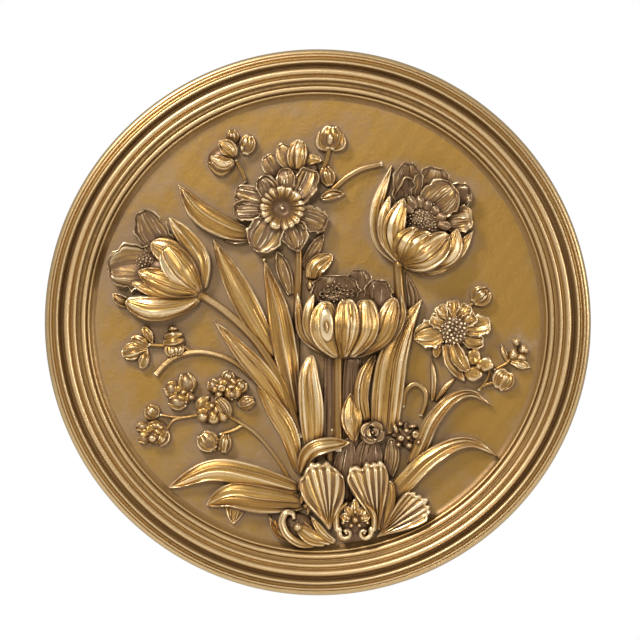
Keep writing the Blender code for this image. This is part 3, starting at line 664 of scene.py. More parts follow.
class Nodes:
    """A node tree under construction."""

    def __init__(self, group: bpy.types.NodeTree) -> None:
        """Work on a node tree."""
        self.group = group

    def node(self, kind: str, settings: dict[str, object] | None = None, **links: object) -> bpy.types.Node:
        """A new node.

        Args:
            kind: Its Blender type.
            settings: Properties of the node itself.
            links: Its inputs, by name with _ for a space, or by number after the letter i: each a socket
                to link, or a plain value.

        Returns:
            The node.
        """
        node = self.group.nodes.new(kind)
        for key, value in (settings or {}).items():
            setattr(node, key, value)
        for key, value in links.items():
            socket = node.inputs[int(key[1:])] if key[1:].isdigit() else node.inputs[key.replace("_", " ")]
            if isinstance(value, bpy.types.NodeSocket):
                self.group.links.new(value, socket)
            else:
                socket.default_value = value
        return node

    def math(self, operation: str, first: object, second: object = 0.0) -> bpy.types.NodeSocket:
        """The result of a Math node."""
        return self.node("ShaderNodeMath", {"operation": operation}, i0=first, i1=second).outputs[0]

    def times(self, first: object, second: object) -> bpy.types.NodeSocket:
        """The product of two values."""
        return self.math("MULTIPLY", first, second)

    def minus(self, first: object, second: object) -> bpy.types.NodeSocket:
        """The difference of two values."""
        return self.math("SUBTRACT", first, second)

    def plus(self, first: object, second: object, share: float = 1.0) -> bpy.types.NodeSocket:
        """The first value and a share of the second."""
        return self.math("ADD", first, second if share == 1.0 else self.times(second, share))

    def ramp(self, value: bpy.types.NodeSocket, low: float, high: float) -> bpy.types.NodeSocket:
        """A soft rise from 0 to 1 as a value goes from low to high."""
        return self.node("ShaderNodeMapRange", {"interpolation_type": "SMOOTHSTEP"}, Value=value,
                         From_Min=low, From_Max=high).outputs[0]

    def blend(self, share: bpy.types.NodeSocket, first: object, second: object) -> bpy.types.NodeSocket:
        """A mixture of two colours."""
        return self.node("ShaderNodeMix", {"data_type": "RGBA"}, i0=share, i6=first, i7=second).outputs[2]


class Tree(Nodes):
    """A Geometry Nodes tree under construction, with named inputs."""

    def __init__(self, name: str, sizes: dict[str, float], whole: tuple[str, ...] = ()) -> None:
        """Start a tree.

        Args:
            name: The tree's name.
            sizes: Its number inputs, with their usual values.
            whole: Names of the inputs that are whole numbers.
        """
        super().__init__(bpy.data.node_groups.new(name, "GeometryNodeTree"))
        face = self.group.interface
        face.new_socket("Geometry", in_out="INPUT", socket_type="NodeSocketGeometry")
        for key, value in sizes.items():
            kind = "NodeSocketInt" if key in whole else "NodeSocketFloat"
            face.new_socket(key, in_out="INPUT", socket_type=kind).default_value = value
        face.new_socket("Finish", in_out="INPUT", socket_type="NodeSocketMaterial")
        face.new_socket("Geometry", in_out="OUTPUT", socket_type="NodeSocketGeometry")
        self.start = self.group.nodes.new("NodeGroupInput")

    def value(self, name: str) -> bpy.types.NodeSocket:
        """One of the tree's named inputs."""
        return self.start.outputs[name]

    def finish(self, geometry: bpy.types.NodeSocket) -> None:
        """End the tree: real geometry in its finish.

        Args:
            geometry: What the tree has made.
        """
        real = self.node("GeometryNodeRealizeInstances", Geometry=geometry)
        dressed = self.node("GeometryNodeSetMaterial", Geometry=real.outputs[0],
                            Material=self.value("Finish"))
        end = self.group.nodes.new("NodeGroupOutput")
        self.group.links.new(dressed.outputs[0], end.inputs[0])

    def make(self, name: str, source: bpy.types.Mesh, finish: bpy.types.Material,
             sizes: dict[str, float]) -> bpy.types.Mesh:
        """Run the tree on a mesh.

        Args:
            name: A name for the new mesh.
            source: The mesh that the tree reads.
            finish: The material it sets.
            sizes: Values of its inputs, by name.

        Returns:
            A plain mesh of its own.
        """
        holder = new_object(name, source)
        modifier = holder.modifiers.new(self.group.name, "NODES")
        modifier.node_group = self.group
        sockets = {item.name: item.identifier for item in self.group.interface.items_tree
                   if item.item_type == "SOCKET" and item.in_out == "INPUT"}
        for key, value in sizes.items():
            modifier[sockets[key]] = value
        modifier[sockets["Finish"]] = finish
        bpy.context.view_layer.update()
        graph = bpy.context.evaluated_depsgraph_get()
        mesh = bpy.data.meshes.new_from_object(holder.evaluated_get(graph))
        bpy.data.objects.remove(holder, do_unlink=True)
        mesh.name = name
        return mesh


def turning_tree() -> Tree:
    """A tree that turns a profile round the plaque's axis.

    Returns:
        The tree, which reads a mesh of one chain of edges.
    """
    tree = Tree("turned moulding", {"Radius": 0.2, "Steps": 320, "Weld": 0.00001}, whole=("Steps",))
    profile = tree.node("GeometryNodeMeshToCurve", Mesh=tree.value("Geometry"))
    circle = tree.node("GeometryNodeCurvePrimitiveCircle", Resolution=tree.value("Steps"),
                       Radius=tree.value("Radius"))
    upright = tree.node("GeometryNodeSetCurveNormal", {"mode": "Z_UP"}, Curve=circle.outputs["Curve"])
    turned = tree.node("GeometryNodeCurveToMesh", Curve=upright.outputs[0], Profile_Curve=profile.outputs[0])
    welded = tree.node("GeometryNodeMergeByDistance", Geometry=turned.outputs[0], Distance=tree.value("Weld"))
    tree.finish(welded.outputs[0])
    return tree


def stem_tree() -> Tree:
    """A tree that runs a round stem along each path, grooved in front and carried down into the field.

    Returns:
        The tree, which reads chains of edges with the attribute thickness.
    """
    usual = {"Sides": 22, "Depth": 5.0, "Floor": ROOT, "Groove": 0.3, "Groove Place": 0.22,
             "Groove Reach": 0.25, "Weld": 0.0001}
    tree = Tree("stems along paths", usual, whole=("Sides",))
    circle = tree.node("GeometryNodeCurvePrimitiveCircle", Resolution=tree.value("Sides"), Radius=1.0)
    place = tree.node("GeometryNodeInputPosition")
    apart = tree.node("ShaderNodeSeparateXYZ", Vector=place.outputs[0])
    across, down = apart.outputs["X"], apart.outputs["Y"]
    deeper = tree.math("MAXIMUM", down, tree.times(down, tree.value("Depth")))
    offside = tree.math("ABSOLUTE", tree.minus(across, tree.value("Groove Place")))
    slope = tree.math("DIVIDE", offside, tree.value("Groove Reach"))
    groove = tree.math("MAXIMUM", tree.minus(1.0, slope), 0.0)
    cut = tree.times(tree.times(groove, tree.value("Groove")), tree.math("LESS_THAN", down, 0.0))
    drawn = tree.node("ShaderNodeCombineXYZ", X=across, Y=tree.plus(deeper, cut))
    profile = tree.node("GeometryNodeSetPosition", Geometry=circle.outputs["Curve"],
                        Position=drawn.outputs[0])
    paths = tree.node("GeometryNodeMeshToCurve", Mesh=tree.value("Geometry"))
    upright = tree.node("GeometryNodeSetCurveNormal", {"mode": "Z_UP"}, Curve=paths.outputs[0])
    thickness = tree.node("GeometryNodeInputNamedAttribute", {"data_type": "FLOAT"}, Name="thickness")
    swept = tree.node("GeometryNodeCurveToMesh", Curve=upright.outputs[0], Profile_Curve=profile.outputs[0],
                      Scale=thickness.outputs[0], Fill_Caps=True)
    spot = tree.node("ShaderNodeSeparateXYZ", Vector=tree.node("GeometryNodeInputPosition").outputs[0])
    raised = tree.node("ShaderNodeCombineXYZ", X=spot.outputs["X"], Y=spot.outputs["Y"],
                       Z=tree.math("MAXIMUM", spot.outputs["Z"], tree.value("Floor")))
    settled = tree.node("GeometryNodeSetPosition", Geometry=swept.outputs[0], Position=raised.outputs[0])
    welded = tree.node("GeometryNodeMergeByDistance", Geometry=settled.outputs[0],
                       Distance=tree.value("Weld"))
    tree.finish(welded.outputs[0])
    return tree


def stamen_tree() -> Tree:
    """A tree that sets stamens over a round mound, in the spiral that seeds grow in.

    Returns:
        The tree, which reads no mesh.
    """
    usual = {"Count": 60, "Spread": 6.0, "Rise": 3.0, "Grain": 0.5, "Smallest": 0.6, "Largest": 1.3,
             "Stretch": 1.8, "Lean": 0.5, "Seed": 1}
    tree = Tree("stamens on a mound", usual, whole=("Count", "Seed"))
    index = tree.node("GeometryNodeInputIndex").outputs[0]
    portion = tree.math("DIVIDE", tree.plus(index, 0.5), tree.value("Count"))
    reach = tree.times(tree.math("SQRT", portion), tree.value("Spread"))
    angle = tree.times(index, GOLDEN_ANGLE)
    x = tree.times(tree.math("COSINE", angle), reach)
    y = tree.times(tree.math("SINE", angle), reach)
    z = tree.times(tree.minus(1.0, portion), tree.value("Rise"))
    place = tree.node("ShaderNodeCombineXYZ", X=x, Y=y, Z=z)
    points = tree.node("GeometryNodePoints", Count=tree.value("Count"), Position=place.outputs[0])
    ball = tree.node("GeometryNodeMeshUVSphere", Segments=8, Rings=6, Radius=tree.value("Grain"))
    shape = tree.node("ShaderNodeCombineXYZ", X=1.0, Y=1.0, Z=tree.value("Stretch"))
    grain = tree.node("GeometryNodeTransform", Geometry=ball.outputs[0], Scale=shape.outputs[0])
    height = tree.math("DIVIDE", tree.value("Spread"), tree.value("Lean"))
    away = tree.node("ShaderNodeCombineXYZ", X=x, Y=y, Z=height)
    turn = tree.node("FunctionNodeAlignRotationToVector", {"axis": "Z"}, Vector=away.outputs[0])
    size = tree.node("FunctionNodeRandomValue", {"data_type": "FLOAT"}, i2=tree.value("Smallest"),
                     i3=tree.value("Largest"), Seed=tree.value("Seed"))
    seeds = tree.node("GeometryNodeInstanceOnPoints", Points=points.outputs[0], Instance=grain.outputs[0],
                      Rotation=turn.outputs[0], Scale=size.outputs[1])
    tree.finish(seeds.outputs[0])
    return tree


@dataclass(frozen=True)
class Trees:
    """The Geometry Nodes trees that the pieces share."""

    turned: Tree
    stem: Tree
    stamen: Tree


# The noises of the finish: how fine they are, and their detail
BROAD, FINE, SPECK = (38, 4), (330, 4), (1900, 3)

# Where each effect of the finish begins and is full, on its own scale
GLAZED_AND_SHADED, SUNK, RUBBED_AND_HIGHLIT, DEEPER, PROUD = (0.05, 0.75), (0.7, 1.45), (0.05, 0.30), (0.0, 0.7), (0.12, 1.0)


@dataclass(frozen=True)
class Finish:
    """Gold paint under a brown glaze, which is worn off wherever the casting stands proud, with light and
    shade painted in: painted highlights on crests and raised forms, painted shade in the deepest hollows.

    The colours are the gold, its deeper tone, which also paints shade on the dark side of a side-lit blade,
    the pale of worn crests and painted highlights, the glaze, and the painted shade of the deepest hollows.
    Grain is the depth of the fine texture, in metres, rub_and_highlight how far proud parts and crests pale,
    as worn gold and painted highlight, and blotch how uneven the glaze lies.
    """

    name: str
    gold: tuple[float, float, float] = (0.50, 0.285, 0.080)
    deep: tuple[float, float, float] = (0.33, 0.170, 0.040)
    pale: tuple[float, float, float] = (0.96, 0.76, 0.47)
    glaze: tuple[float, float, float] = (0.180, 0.102, 0.050)
    dark: tuple[float, float, float] = (0.060, 0.027, 0.008)
    metal: float = 0.80
    roughness: float = 0.32
    grain: float = 0.00012
    gloss: float = 0.3
    rub_and_highlight: float = 0.8
    blotch: float = 0.5

    def material(self) -> bpy.types.Material:
        """Make the finish, which reads the attributes of the meshes.

        Returns:
            The new material.
        """
        material = bpy.data.materials.new(self.name)
        material.use_nodes = True
        nodes = Nodes(material.node_tree)
        shader = material.node_tree.nodes["Principled BSDF"]
        place = nodes.node("ShaderNodeTexCoord").outputs["Object"]

        def noise(scale: float, detail: float) -> bpy.types.NodeSocket:
            """Noise of a given fineness, around 0.5."""
            return nodes.node("ShaderNodeTexNoise", Vector=place, Scale=scale, Detail=detail).outputs["Fac"]

        def kept(name: str) -> bpy.types.NodeSocket:
            """An attribute of the mesh."""
            return nodes.node("ShaderNodeAttribute", {"attribute_name": name}).outputs["Fac"]

        def rest(share: bpy.types.NodeSocket) -> bpy.types.NodeSocket:
            """What is left of 1."""
            return nodes.minus(1.0, share)

        broad, fine, speck = noise(*BROAD), noise(*FINE), noise(*SPECK)
        patches = nodes.times(nodes.minus(broad, 0.5), self.blotch)
        flecks = nodes.minus(fine, 0.5)
        mottle = nodes.plus(patches, flecks, 0.45)
        # The tone holds random stripes and, in places, light and shade painted into it
        tone = nodes.times(kept("tone_and_light"), 0.6)
        # Glaze by stain and recess; on walls and under overlapping parts this is painted shade, and a lighter
        # tone thins it
        glaze_and_shade_cover = nodes.plus(nodes.plus(kept("stain"), kept("recess"), 0.8), tone, -0.3)
        glazed_and_shaded = nodes.ramp(nodes.plus(glaze_and_shade_cover, mottle), *GLAZED_AND_SHADED)
        # The darkest colour in the deepest hollows and under overlapping parts: painted shade
        sunk = nodes.ramp(nodes.plus(kept("recess"), mottle, 0.5), *SUNK)
        # Crests and proud forms turn pale: worn gold and painted highlights
        crest = nodes.ramp(nodes.plus(kept("crest"), mottle, 0.25), *RUBBED_AND_HIGHLIT)
        rubbed_and_highlit = nodes.times(crest, nodes.times(rest(sunk), min(1.0, 1.25 * self.rub_and_highlight)))
        # Darker where the tone is low, which includes the painted shade on the dark side of a side-lit blade
        deeper = nodes.ramp(nodes.minus(nodes.times(mottle, 0.8), tone), *DEEPER)
        proud = nodes.ramp(nodes.plus(kept("proud"), tone), *PROUD)
        colour = nodes.blend(deeper, (*self.gold, 1), (*self.deep, 1))
        colour = nodes.blend(nodes.times(proud, self.rub_and_highlight), colour, (*self.pale, 1))
        colour = nodes.blend(glazed_and_shaded, colour, (*self.glaze, 1))
        colour = nodes.blend(sunk, colour, (*self.dark, 1))
        colour = nodes.blend(rubbed_and_highlit, colour, (*self.pale, 1))
        matt = nodes.times(glazed_and_shaded, rest(rubbed_and_highlit))
        rough = nodes.plus(nodes.plus(self.roughness, matt, 0.04), flecks, 0.12)
        metal = nodes.times(rest(nodes.times(matt, 0.5)), self.metal)
        height = nodes.plus(fine, speck, 0.6)
        bump = nodes.node("ShaderNodeBump", Strength=1.0, Distance=self.grain, Height=height)
        for name, socket in (("Base Color", colour), ("Roughness", rough), ("Metallic", metal),
                             ("Normal", bump.outputs[0])):
            material.node_tree.links.new(socket, shader.inputs[name])
        shader.inputs["Specular IOR Level"].default_value = self.gloss
        return material


RELIEF_GOLD = Finish("relief gold")
FIELD_GOLD = Finish("field gold", gold=(0.350, 0.195, 0.043), deep=(0.26, 0.145, 0.030),
                    glaze=(0.310, 0.196, 0.100), roughness=0.44, metal=0.7, grain=0.0002, blotch=1.3)
FRAME_GOLD = Finish("frame gold", gold=(0.49, 0.295, 0.098), deep=(0.37, 0.205, 0.056),
                    glaze=(0.24, 0.134, 0.048), dark=(0.115, 0.054, 0.014), roughness=0.36, grain=0.00006,
                    rub_and_highlight=0.4)


@dataclass
class Moulding:
    """The turned frame, in one solid with the flat back and the plate behind the field.

    It is drawn in millimetres, as radius and height, for a plaque of the drawn radius. On another one its
    mouldings keep their sizes and move with the rim.
    """

    name: str = "frame_moulding"
    steps: int = 360
    drawn_radius: float = 200.0
    plate: float = 5.5
    # Glaze by radius in millimetres: in the grooves and coves, and heavier on the inner slope near 164.5 to
    # 166.5 mm, where it paints shade
    glaze_and_shade: tuple[tuple[float, float], ...] = (
        (0, 0.5), (160, 0.6), (164.5, 0.7), (166.5, 0.5), (167.2, 0.0), (168.4, 0.0), (169.0, 0.5),
        (169.6, 0.4), (170.4, 0.0), (172.6, 0.0), (173.6, 0.3), (175.2, 0.35), (175.9, 0.6), (176.4, 0.5),
        (176.9, 0.0), (178.6, 0.0), (179.2, 0.2), (180.4, 0.2), (181.2, 0.1), (184.2, 0.0), (185.0, 0.4),
        (186.0, 0.6), (188.4, 0.6), (189.3, 0.1), (190.8, 0.0), (191.6, 0.15), (194.0, 0.1), (194.5, 0.0),
        (195.3, 0.0), (195.9, 0.3), (196.6, 0.0), (201, 0.05))
    glaze_and_shade_share: float = 0.8
    recess_share: float = 0.33

    @staticmethod
    def arc(middle: tuple[float, float], across: float, up: float, first: float, last: float,
            steps: int = 10) -> list[tuple[float, float]]:
        """Points of an arc of the profile.

        Args:
            middle: Its centre, as radius and height in millimetres.
            across: Its half width.
            up: Its height.
            first: The angle where it begins, in degrees.
            last: The angle where it ends, in degrees.
            steps: How many stretches it is cut into.

        Returns:
            Its points, as radius and height in millimetres.
        """
        angles = [math.radians(first + (last - first) * k / steps) for k in range(steps + 1)]
        return [(middle[0] + across * math.cos(a), middle[1] + up * math.sin(a)) for a in angles]

    def profile(self) -> np.ndarray:
        """The profile from the middle of the back, round the edge and in to the middle of the plate.

        Returns:
            The radius and height of each point, in metres.
        """
        knots = [(0, 0), (60, 0), (120, 0), (170, 0), (198.6, 0), (199.6, 0.3), (200, 1.0), (200, 8.6)]
        knots += self.arc((196.6, 8.6), 3.4, 5.2, 12, 88, 8)
        knots += [(196.05, 13.2)]
        knots += self.arc((194.95, 14.3), 0.95, 1.35, -8, 188, 10)
        knots += [(193.7, 14.2), (192.8, 14.35), (192.0, 15.0), (191.5, 16.4), (191.15, 18.4), (190.95, 20.2)]
        knots += self.arc((190.1, 20.6), 0.85, 0.9, 10, 175, 8)
        knots += [(189.15, 19.4), (188.9, 17.4), (188.3, 15.2), (187.4, 13.9), (186.6, 13.6), (185.8, 14.0)]
        knots += self.arc((183.2, 16.4), 2.35, 3.6, -12, 172, 14)
        knots += [(180.5, 16.5), (179.8, 16.1), (179.2, 16.3)]
        knots += self.arc((177.7, 17.0), 1.25, 1.5, -10, 195, 12)
        knots += [(176.3, 15.0), (176.0, 13.2), (175.6, 12.6), (174.8, 12.7), (173.8, 12.9)]
        knots += self.arc((171.55, 12.4), 1.9, 2.2, 5, 178, 12)
        knots += [(169.5, 11.2), (169.2, 10.4), (168.95, 10.5)]
        knots += self.arc((167.9, 10.8), 0.9, 0.95, -10, 190, 10)
        knots += [(166.8, 10.0), (166.2, 8.9), (165.6, 8.3), (164.6, 7.6), (163.4, 7.15), (162.6, 6.9),
                  (160.5, 6.2), (155, self.plate), (80, self.plate), (0, self.plate)]
        points = np.array(knots)
        points[points[:, 0] > 0, 0] += self.moved()
        return points * MM

    def moved(self) -> float:
        """How far the rim lies out from the drawn one, in millimetres, to the nearest micrometre."""
        return round(PLAQUE_RADIUS / MM - self.drawn_radius, 3)

    def face(self) -> tuple[np.ndarray, np.ndarray]:
        """The front alone, by growing radius.

        Returns:
            Its radii and its heights.
        """
        profile = self.profile()
        front = profile[8:-3]
        order = np.argsort(front[:, 0], kind="stable")
        return front[order, 0], front[order, 1]

    def build(self, trees: Trees, finish: bpy.types.Material) -> bpy.types.Object:
        """Turn the frame.

        Args:
            trees: The shared Geometry Nodes trees.
            finish: Its material.

        Returns:
            The new piece.
        """
        profile = self.profile()[::-1]
        source = bpy.data.meshes.new("profile")
        points = np.column_stack([profile[:, 0] - PLAQUE_RADIUS, -profile[:, 1], np.zeros(len(profile))])
        source.from_pydata(points.tolist(), [(k, k + 1) for k in range(len(points) - 1)], [])
        mesh = trees.turned.make(self.name, source, finish, {"Radius": PLAQUE_RADIUS, "Steps": self.steps})
        flat = np.empty(3 * len(mesh.vertices))
        mesh.vertices.foreach_get("co", flat)
        lying = flat.reshape(-1, 3)
        mesh.vertices.foreach_set("co", np.column_stack([lying[:, 0], -lying[:, 2], lying[:, 1]]).ravel())
        mesh.update()
        radii, glaze_and_shade = zip(*self.glaze_and_shade)
        reach = np.hypot(lying[:, 0], lying[:, 1])
        # The frame's glaze, which on its inner slope also paints shade
        PatinaAndPaintedLight.write(mesh, "stain", self.glaze_and_shade_share * np.interp(reach / MM - self.moved(), radii, glaze_and_shade))
        return new_object(self.name, mesh)


@dataclass
class Group:
    """One group of the relief, carved piece by piece."""

    name: str = ""
    seed: int = 1
    finish: Finish = RELIEF_GOLD

    def carve(self, c: Carving) -> None:
        """Carve every piece of the group.

        Args:
            c: The carving.
        """

    def build(self, trees: Trees, finish: bpy.types.Material) -> tuple[bpy.types.Object, list[np.ndarray]]:
        """Build the group.

        Args:
            trees: The shared Geometry Nodes trees.
            finish: Its material.

        Returns:
            The new piece and its carved surfaces.
        """
        carving = Carving(self.seed)
        self.carve(carving)
        carving.grow(trees, finish)
        return carving.stand(self.name, finish), carving.surfaces


@dataclass
class Field(Group):
    """The flat field behind the relief."""

    name: str = "field"
    finish: Finish = FIELD_GOLD
    reach: float = (FIELD_RADIUS + 0.0008) / UNIT
    cells: int = 200
    unevenness: float = 0.03
    glaze: float = 0.14
    mauve_leftward: float = 0.14

    def carve(self, c: Carving) -> None:
        """Lay an even grid over the disc and close it below.

        Args:
            c: The carving.
        """
        count = self.cells + 1
        b, a = np.meshgrid(np.linspace(-1, 1, count), np.linspace(-1, 1, count))
        wide = np.abs(a) > np.abs(b)
        safe_a, safe_b = np.where(a == 0, 1, a), np.where(b == 0, 1, b)
        angle = np.where(wide, 0.25 * math.pi * b / safe_a, 0.5 * math.pi - 0.25 * math.pi * a / safe_b)
        radius = self.reach * np.where(wide, a, b)
        x, y = radius * np.cos(angle), radius * np.sin(angle)
        swell = np.sin(0.31 * x + 1.3) * np.cos(0.27 * y) + 0.6 * np.sin(0.73 * x - 0.51 * y)
        top = np.stack([x, y, self.unevenness * swell], axis=-1).reshape(-1, 3)
        index = np.arange(count * count).reshape(count, count)
        quads = np.stack([index[:-1, :-1], index[1:, :-1], index[1:, 1:], index[:-1, 1:]], axis=-1)
        rim = np.concatenate([index[:, 0], index[-1, 1:], index[-2::-1, -1], index[0, -2:0:-1]])
        # The field takes more of its mauve colour towards the left
        glaze = self.glaze - self.mauve_leftward * top[:, 0] / 100
        c.add_shell(top, quads.reshape(-1, 4).tolist(), rim, top[rim, :2], glaze)


@dataclass
class UpperBuds(Group):
    """Three buds on one stem, high on the left."""

    name: str = "upper_buds"
    seed: int = 11

    def carve(self, c: Carving) -> None:
        """Carve the stem, the three buds and their petals.

        Args:
            c: The carving.
        """
        c.stem([(-32.6, 63, 2.8), (-34, 67.5, 3.2), (-37, 73, 3.6)], 0.9)
        c.disc(-43.4, 74, 6.4, 5.4, 5.6, turn=25, stain=0.5)
        c.blade([(-38, 70.5, 4), (-43.5, 67.6, 4.6), (-49.6, 71, 3.8)], 2.0, SMALL, foot=0.4, grid=(24, 13))
        c.blade([(-37.2, 71.5, 4.6), (-43, 68.9, 5.6), (-49.8, 72.6, 4.6)], 1.7, SMALL, foot=0.4,
                grid=(24, 13))
        c.blade([(-37.8, 74.2, 5.5), (-39.6, 77.4, 7.6), (-44.6, 81.6, 6.2)], 3.9,
                LEAF.but(folds=4, tilt=0.4), grid=(30, 31))
        c.blade([(-37.6, 72.2, 6), (-42.6, 71.4, 8.0), (-48.2, 74.4, 6.6)], 3.2,
                PETAL.but(folds=0, crown=1.7), Tip.LEAF, foot=0.45, grid=(28, 31))
        c.bud(-38.2, 83.4, 2.7, 3.6, 5.4, turn=4, petals=3)
        c.bud(-31.6, 79.8, 3.6, 4.9, 6.0, turn=-14, petals=4)
        c.disc(-34.0, 78.2, 1.3, 1.8, 6.0, base=3, sides=16, rings=6)


@dataclass
class Daffodil(Group):
    """The large open flower: petals round a frilled cup."""

    name: str = "daffodil"
    seed: int = 12
    middle: tuple[float, float] = (-15.9, 51.2)
    cup_radius: float = 9.7
    cup_mouth: float = 4.6
    cup_top: float = 11.0
    frills: int = 16

    def carve(self, c: Carving) -> None:
        """Carve the stem, the petals from the back to the front, and the cup.

        Args:
            c: The carving.
        """
        c.stem([(-9.8, -26, 2.6), (-9.4, 4, 3.6), (-8.7, 24, 4.4), (-9, 36, 4.4)], 1.7, thin=1.0)
        ribbed = Section(crown=-1.3, folds=3, fold=0.6, veins=10, vein=0.2, lip=0.8, warp=0.5, ripple=0.05,
                         tone=-0.5, stain=0.36)
        wide = ribbed.but(folds=4)
        c.blade([(-13, 46, 7), (-10.3, 39, 6.5), (-8.8, 31.6, 6.2)], 6.4, ribbed, foot=0.7, peak=0.45)
        c.blade([(-20, 47, 7), (-24, 39, 6.5), (-28, 31.8, 6.6)], 8.2, wide.but(lip=0.95, sheen=-0.5),
                Tip.LEAF, foot=0.7, peak=0.55)
        c.blade([(-9, 48.5, 7), (-3, 46.5, 6.5), (4.2, 43.6, 6.2)], 5.6, ribbed.but(ripple=0.08, ripples=4),
                Tip.BLUNT, foot=0.7, peak=0.45, tip=0.3)
        c.blade([(-10, 54, 7), (-6, 60.8, 6.8), (-3.2, 68.8, 6.2)], 5.6, ribbed.but(tilt=0.5, folds=4),
                Tip.BLUNT, foot=0.6, tip=0.4)
        c.blade([(-22, 50, 6.6), (-30, 50.5, 6.2), (-38.2, 50, 5.4)], 5.0, wide, Tip.BLUNT, foot=0.6,
                peak=0.6)
        c.blade([(-21, 54, 7), (-29, 56.6, 6.8), (-37.4, 58.6, 5.8)], 4.8, wide.but(crown=0.6), Tip.BLUNT,
                foot=0.6, peak=0.6)
        c.blade([(-18.6, 55.5, 7), (-22.5, 60.5, 6.8), (-26, 65.4, 5.6)], 5.0, ribbed, Tip.ROUND, foot=0.7)
        c.blade([(-14.5, 58, 7.5), (-14.4, 64, 8), (-14.6, 69.4, 6.6)], 4.6, ribbed.but(tilt=0.6, crown=0.4),
                Tip.ROUND, foot=0.7)
        self.carve_cup(c)

    def carve_cup(self, c: Carving) -> None:
        """Carve the frilled cup with its sunk middle.

        Args:
            c: The carving.
        """
        sides, rings = 192, 34
        angle = np.linspace(0, 2 * math.pi, sides, endpoint=False)[None, :]
        reach = (np.arange(1, rings + 1) / rings)[:, None] ** 0.85
        wander = angle + 0.12 * np.sin(2 * angle + 0.7) + 0.06 * np.sin(5 * angle)
        bump = np.abs(np.cos(0.5 * self.frills * wander)) ** 0.7
        uneven = 0.8 + 0.3 * np.sin(3 * angle + 1.1) + 0.15 * np.sin(7 * angle)
        mouth = self.cup_mouth / self.cup_radius
        climb = smooth_step((reach - 0.55 * mouth) / (0.95 - 0.55 * mouth))
        outer = smooth_step((reach - 0.42) / 0.25)
        height = self.cup_top - 5.4 + 4.7 * climb ** 0.7 - 0.5 * smooth_step((reach - 0.78) / 0.22)
        height = height + 1.5 * (bump - 0.65) * uneven * outer
        height = height + 0.22 * np.cos(2 * self.frills * wander + 1.0) * smooth_step((reach - 0.3) / 0.2)
        height = height - 0.9 * smooth_step((reach - 0.94) / 0.06)
        height = height + 1.1 * ridge(reach, 0.0, 0.10)
        radius = self.cup_radius * reach * (1 + 0.13 * (bump - 0.6) * uneven * reach ** 3)
        grid = np.stack([self.middle[0] + radius * np.cos(angle), self.middle[1] + radius * np.sin(angle),
                         height + 0 * angle], axis=-1)
        stain = 1.1 * np.exp(-(reach / 0.46) ** 6) + 0.6 * (1 - bump) * outer
        c.add_polar(np.array([*self.middle, self.cup_top - 4.4]), grid,
                    np.concatenate([[0.5], np.broadcast_to(stain, radius.shape).ravel()]))


@dataclass
class BackFlower(Group):
    """The half-hidden flower above the daffodil, with the bud, small leaf and cut twig beside it."""

    name: str = "back_flower"
    seed: int = 13

    def carve(self, c: Carving) -> None:
        """Carve the petals, the bud in its cup, the small bud, the leaf and the twig.

        Args:
            c: The carving.
        """
        rimmed = Section(crown=-0.6, folds=4, fold=0.4, veins=6, lip=0.6, tone=-0.5, stain=0.3)
        c.disc(-11.5, 68.5, 12, 6.5, 4.4, rough=0.3, stain=0.5, sides=64, rings=18)
        c.blade([(-17, 66, 3.5), (-20.4, 70.5, 5), (-23.2, 75.4, 4.4)], 5.0, rimmed.but(folds=5), Tip.ROUND,
                foot=0.7, grid=(30, 31))
        c.blade([(-7, 70.5, 3.5), (-2.5, 73.4, 5), (1.9, 72.6, 3.2)], 2.6, SIDE, Tip.LEAF, foot=0.6,
                grid=(26, 31))
        c.blade([(-10, 69, 4.2), (-13.6, 74, 6.2), (-17.2, 80.4, 5.4)], 5.0, rimmed.but(lip=0.6), Tip.LEAF,
                foot=0.6, grid=(30, 31))
        c.blade([(-9.4, 68, 5.4), (-9.4, 75, 7.8), (-7.6, 82, 6)], 4.8,
                PETAL.but(crown=1.4, folds=3, tone=-0.4), Tip.ROUND, foot=0.6, grid=(30, 31))
        c.stem([(0.6, 66, 3), (3.2, 71, 3.5), (5.2, 78, 4)], 1.1)
        c.blade([(4.8, 77.2, 3.6), (0.4, 79.8, 5.4), (0.8, 86.2, 4.8)], 1.7, SMALL, Tip.LEAF, grid=(24, 13))
        c.blade([(6.4, 77.2, 3.6), (11, 79.4, 5.4), (11.2, 85.4, 4.8)], 1.7, SMALL, Tip.LEAF, grid=(24, 13))
        c.bud(5.9, 83, 4.8, 5.8, 6.8, turn=-6, petals=4)
        c.disc(5.6, 82.4, 1.9, 3.2, 8.0, base=5, turn=-6, sides=20, rings=8)
        c.bud(4.3, 65.6, 3.5, 4.8, 5.8, turn=12, petals=3)
        c.blade([(1, 55.2, 4), (6.2, 57.6, 5.2), (12.6, 57.6, 2.8)], 2.6, LEAF, foot=0.4, peak=0.4,
                grid=(28, 31))
        c.stem([(7, 60, 3), (13, 65.3, 3.4), (20, 69.2, 3.4), (29, 71.4, 3.2)], 1.4)


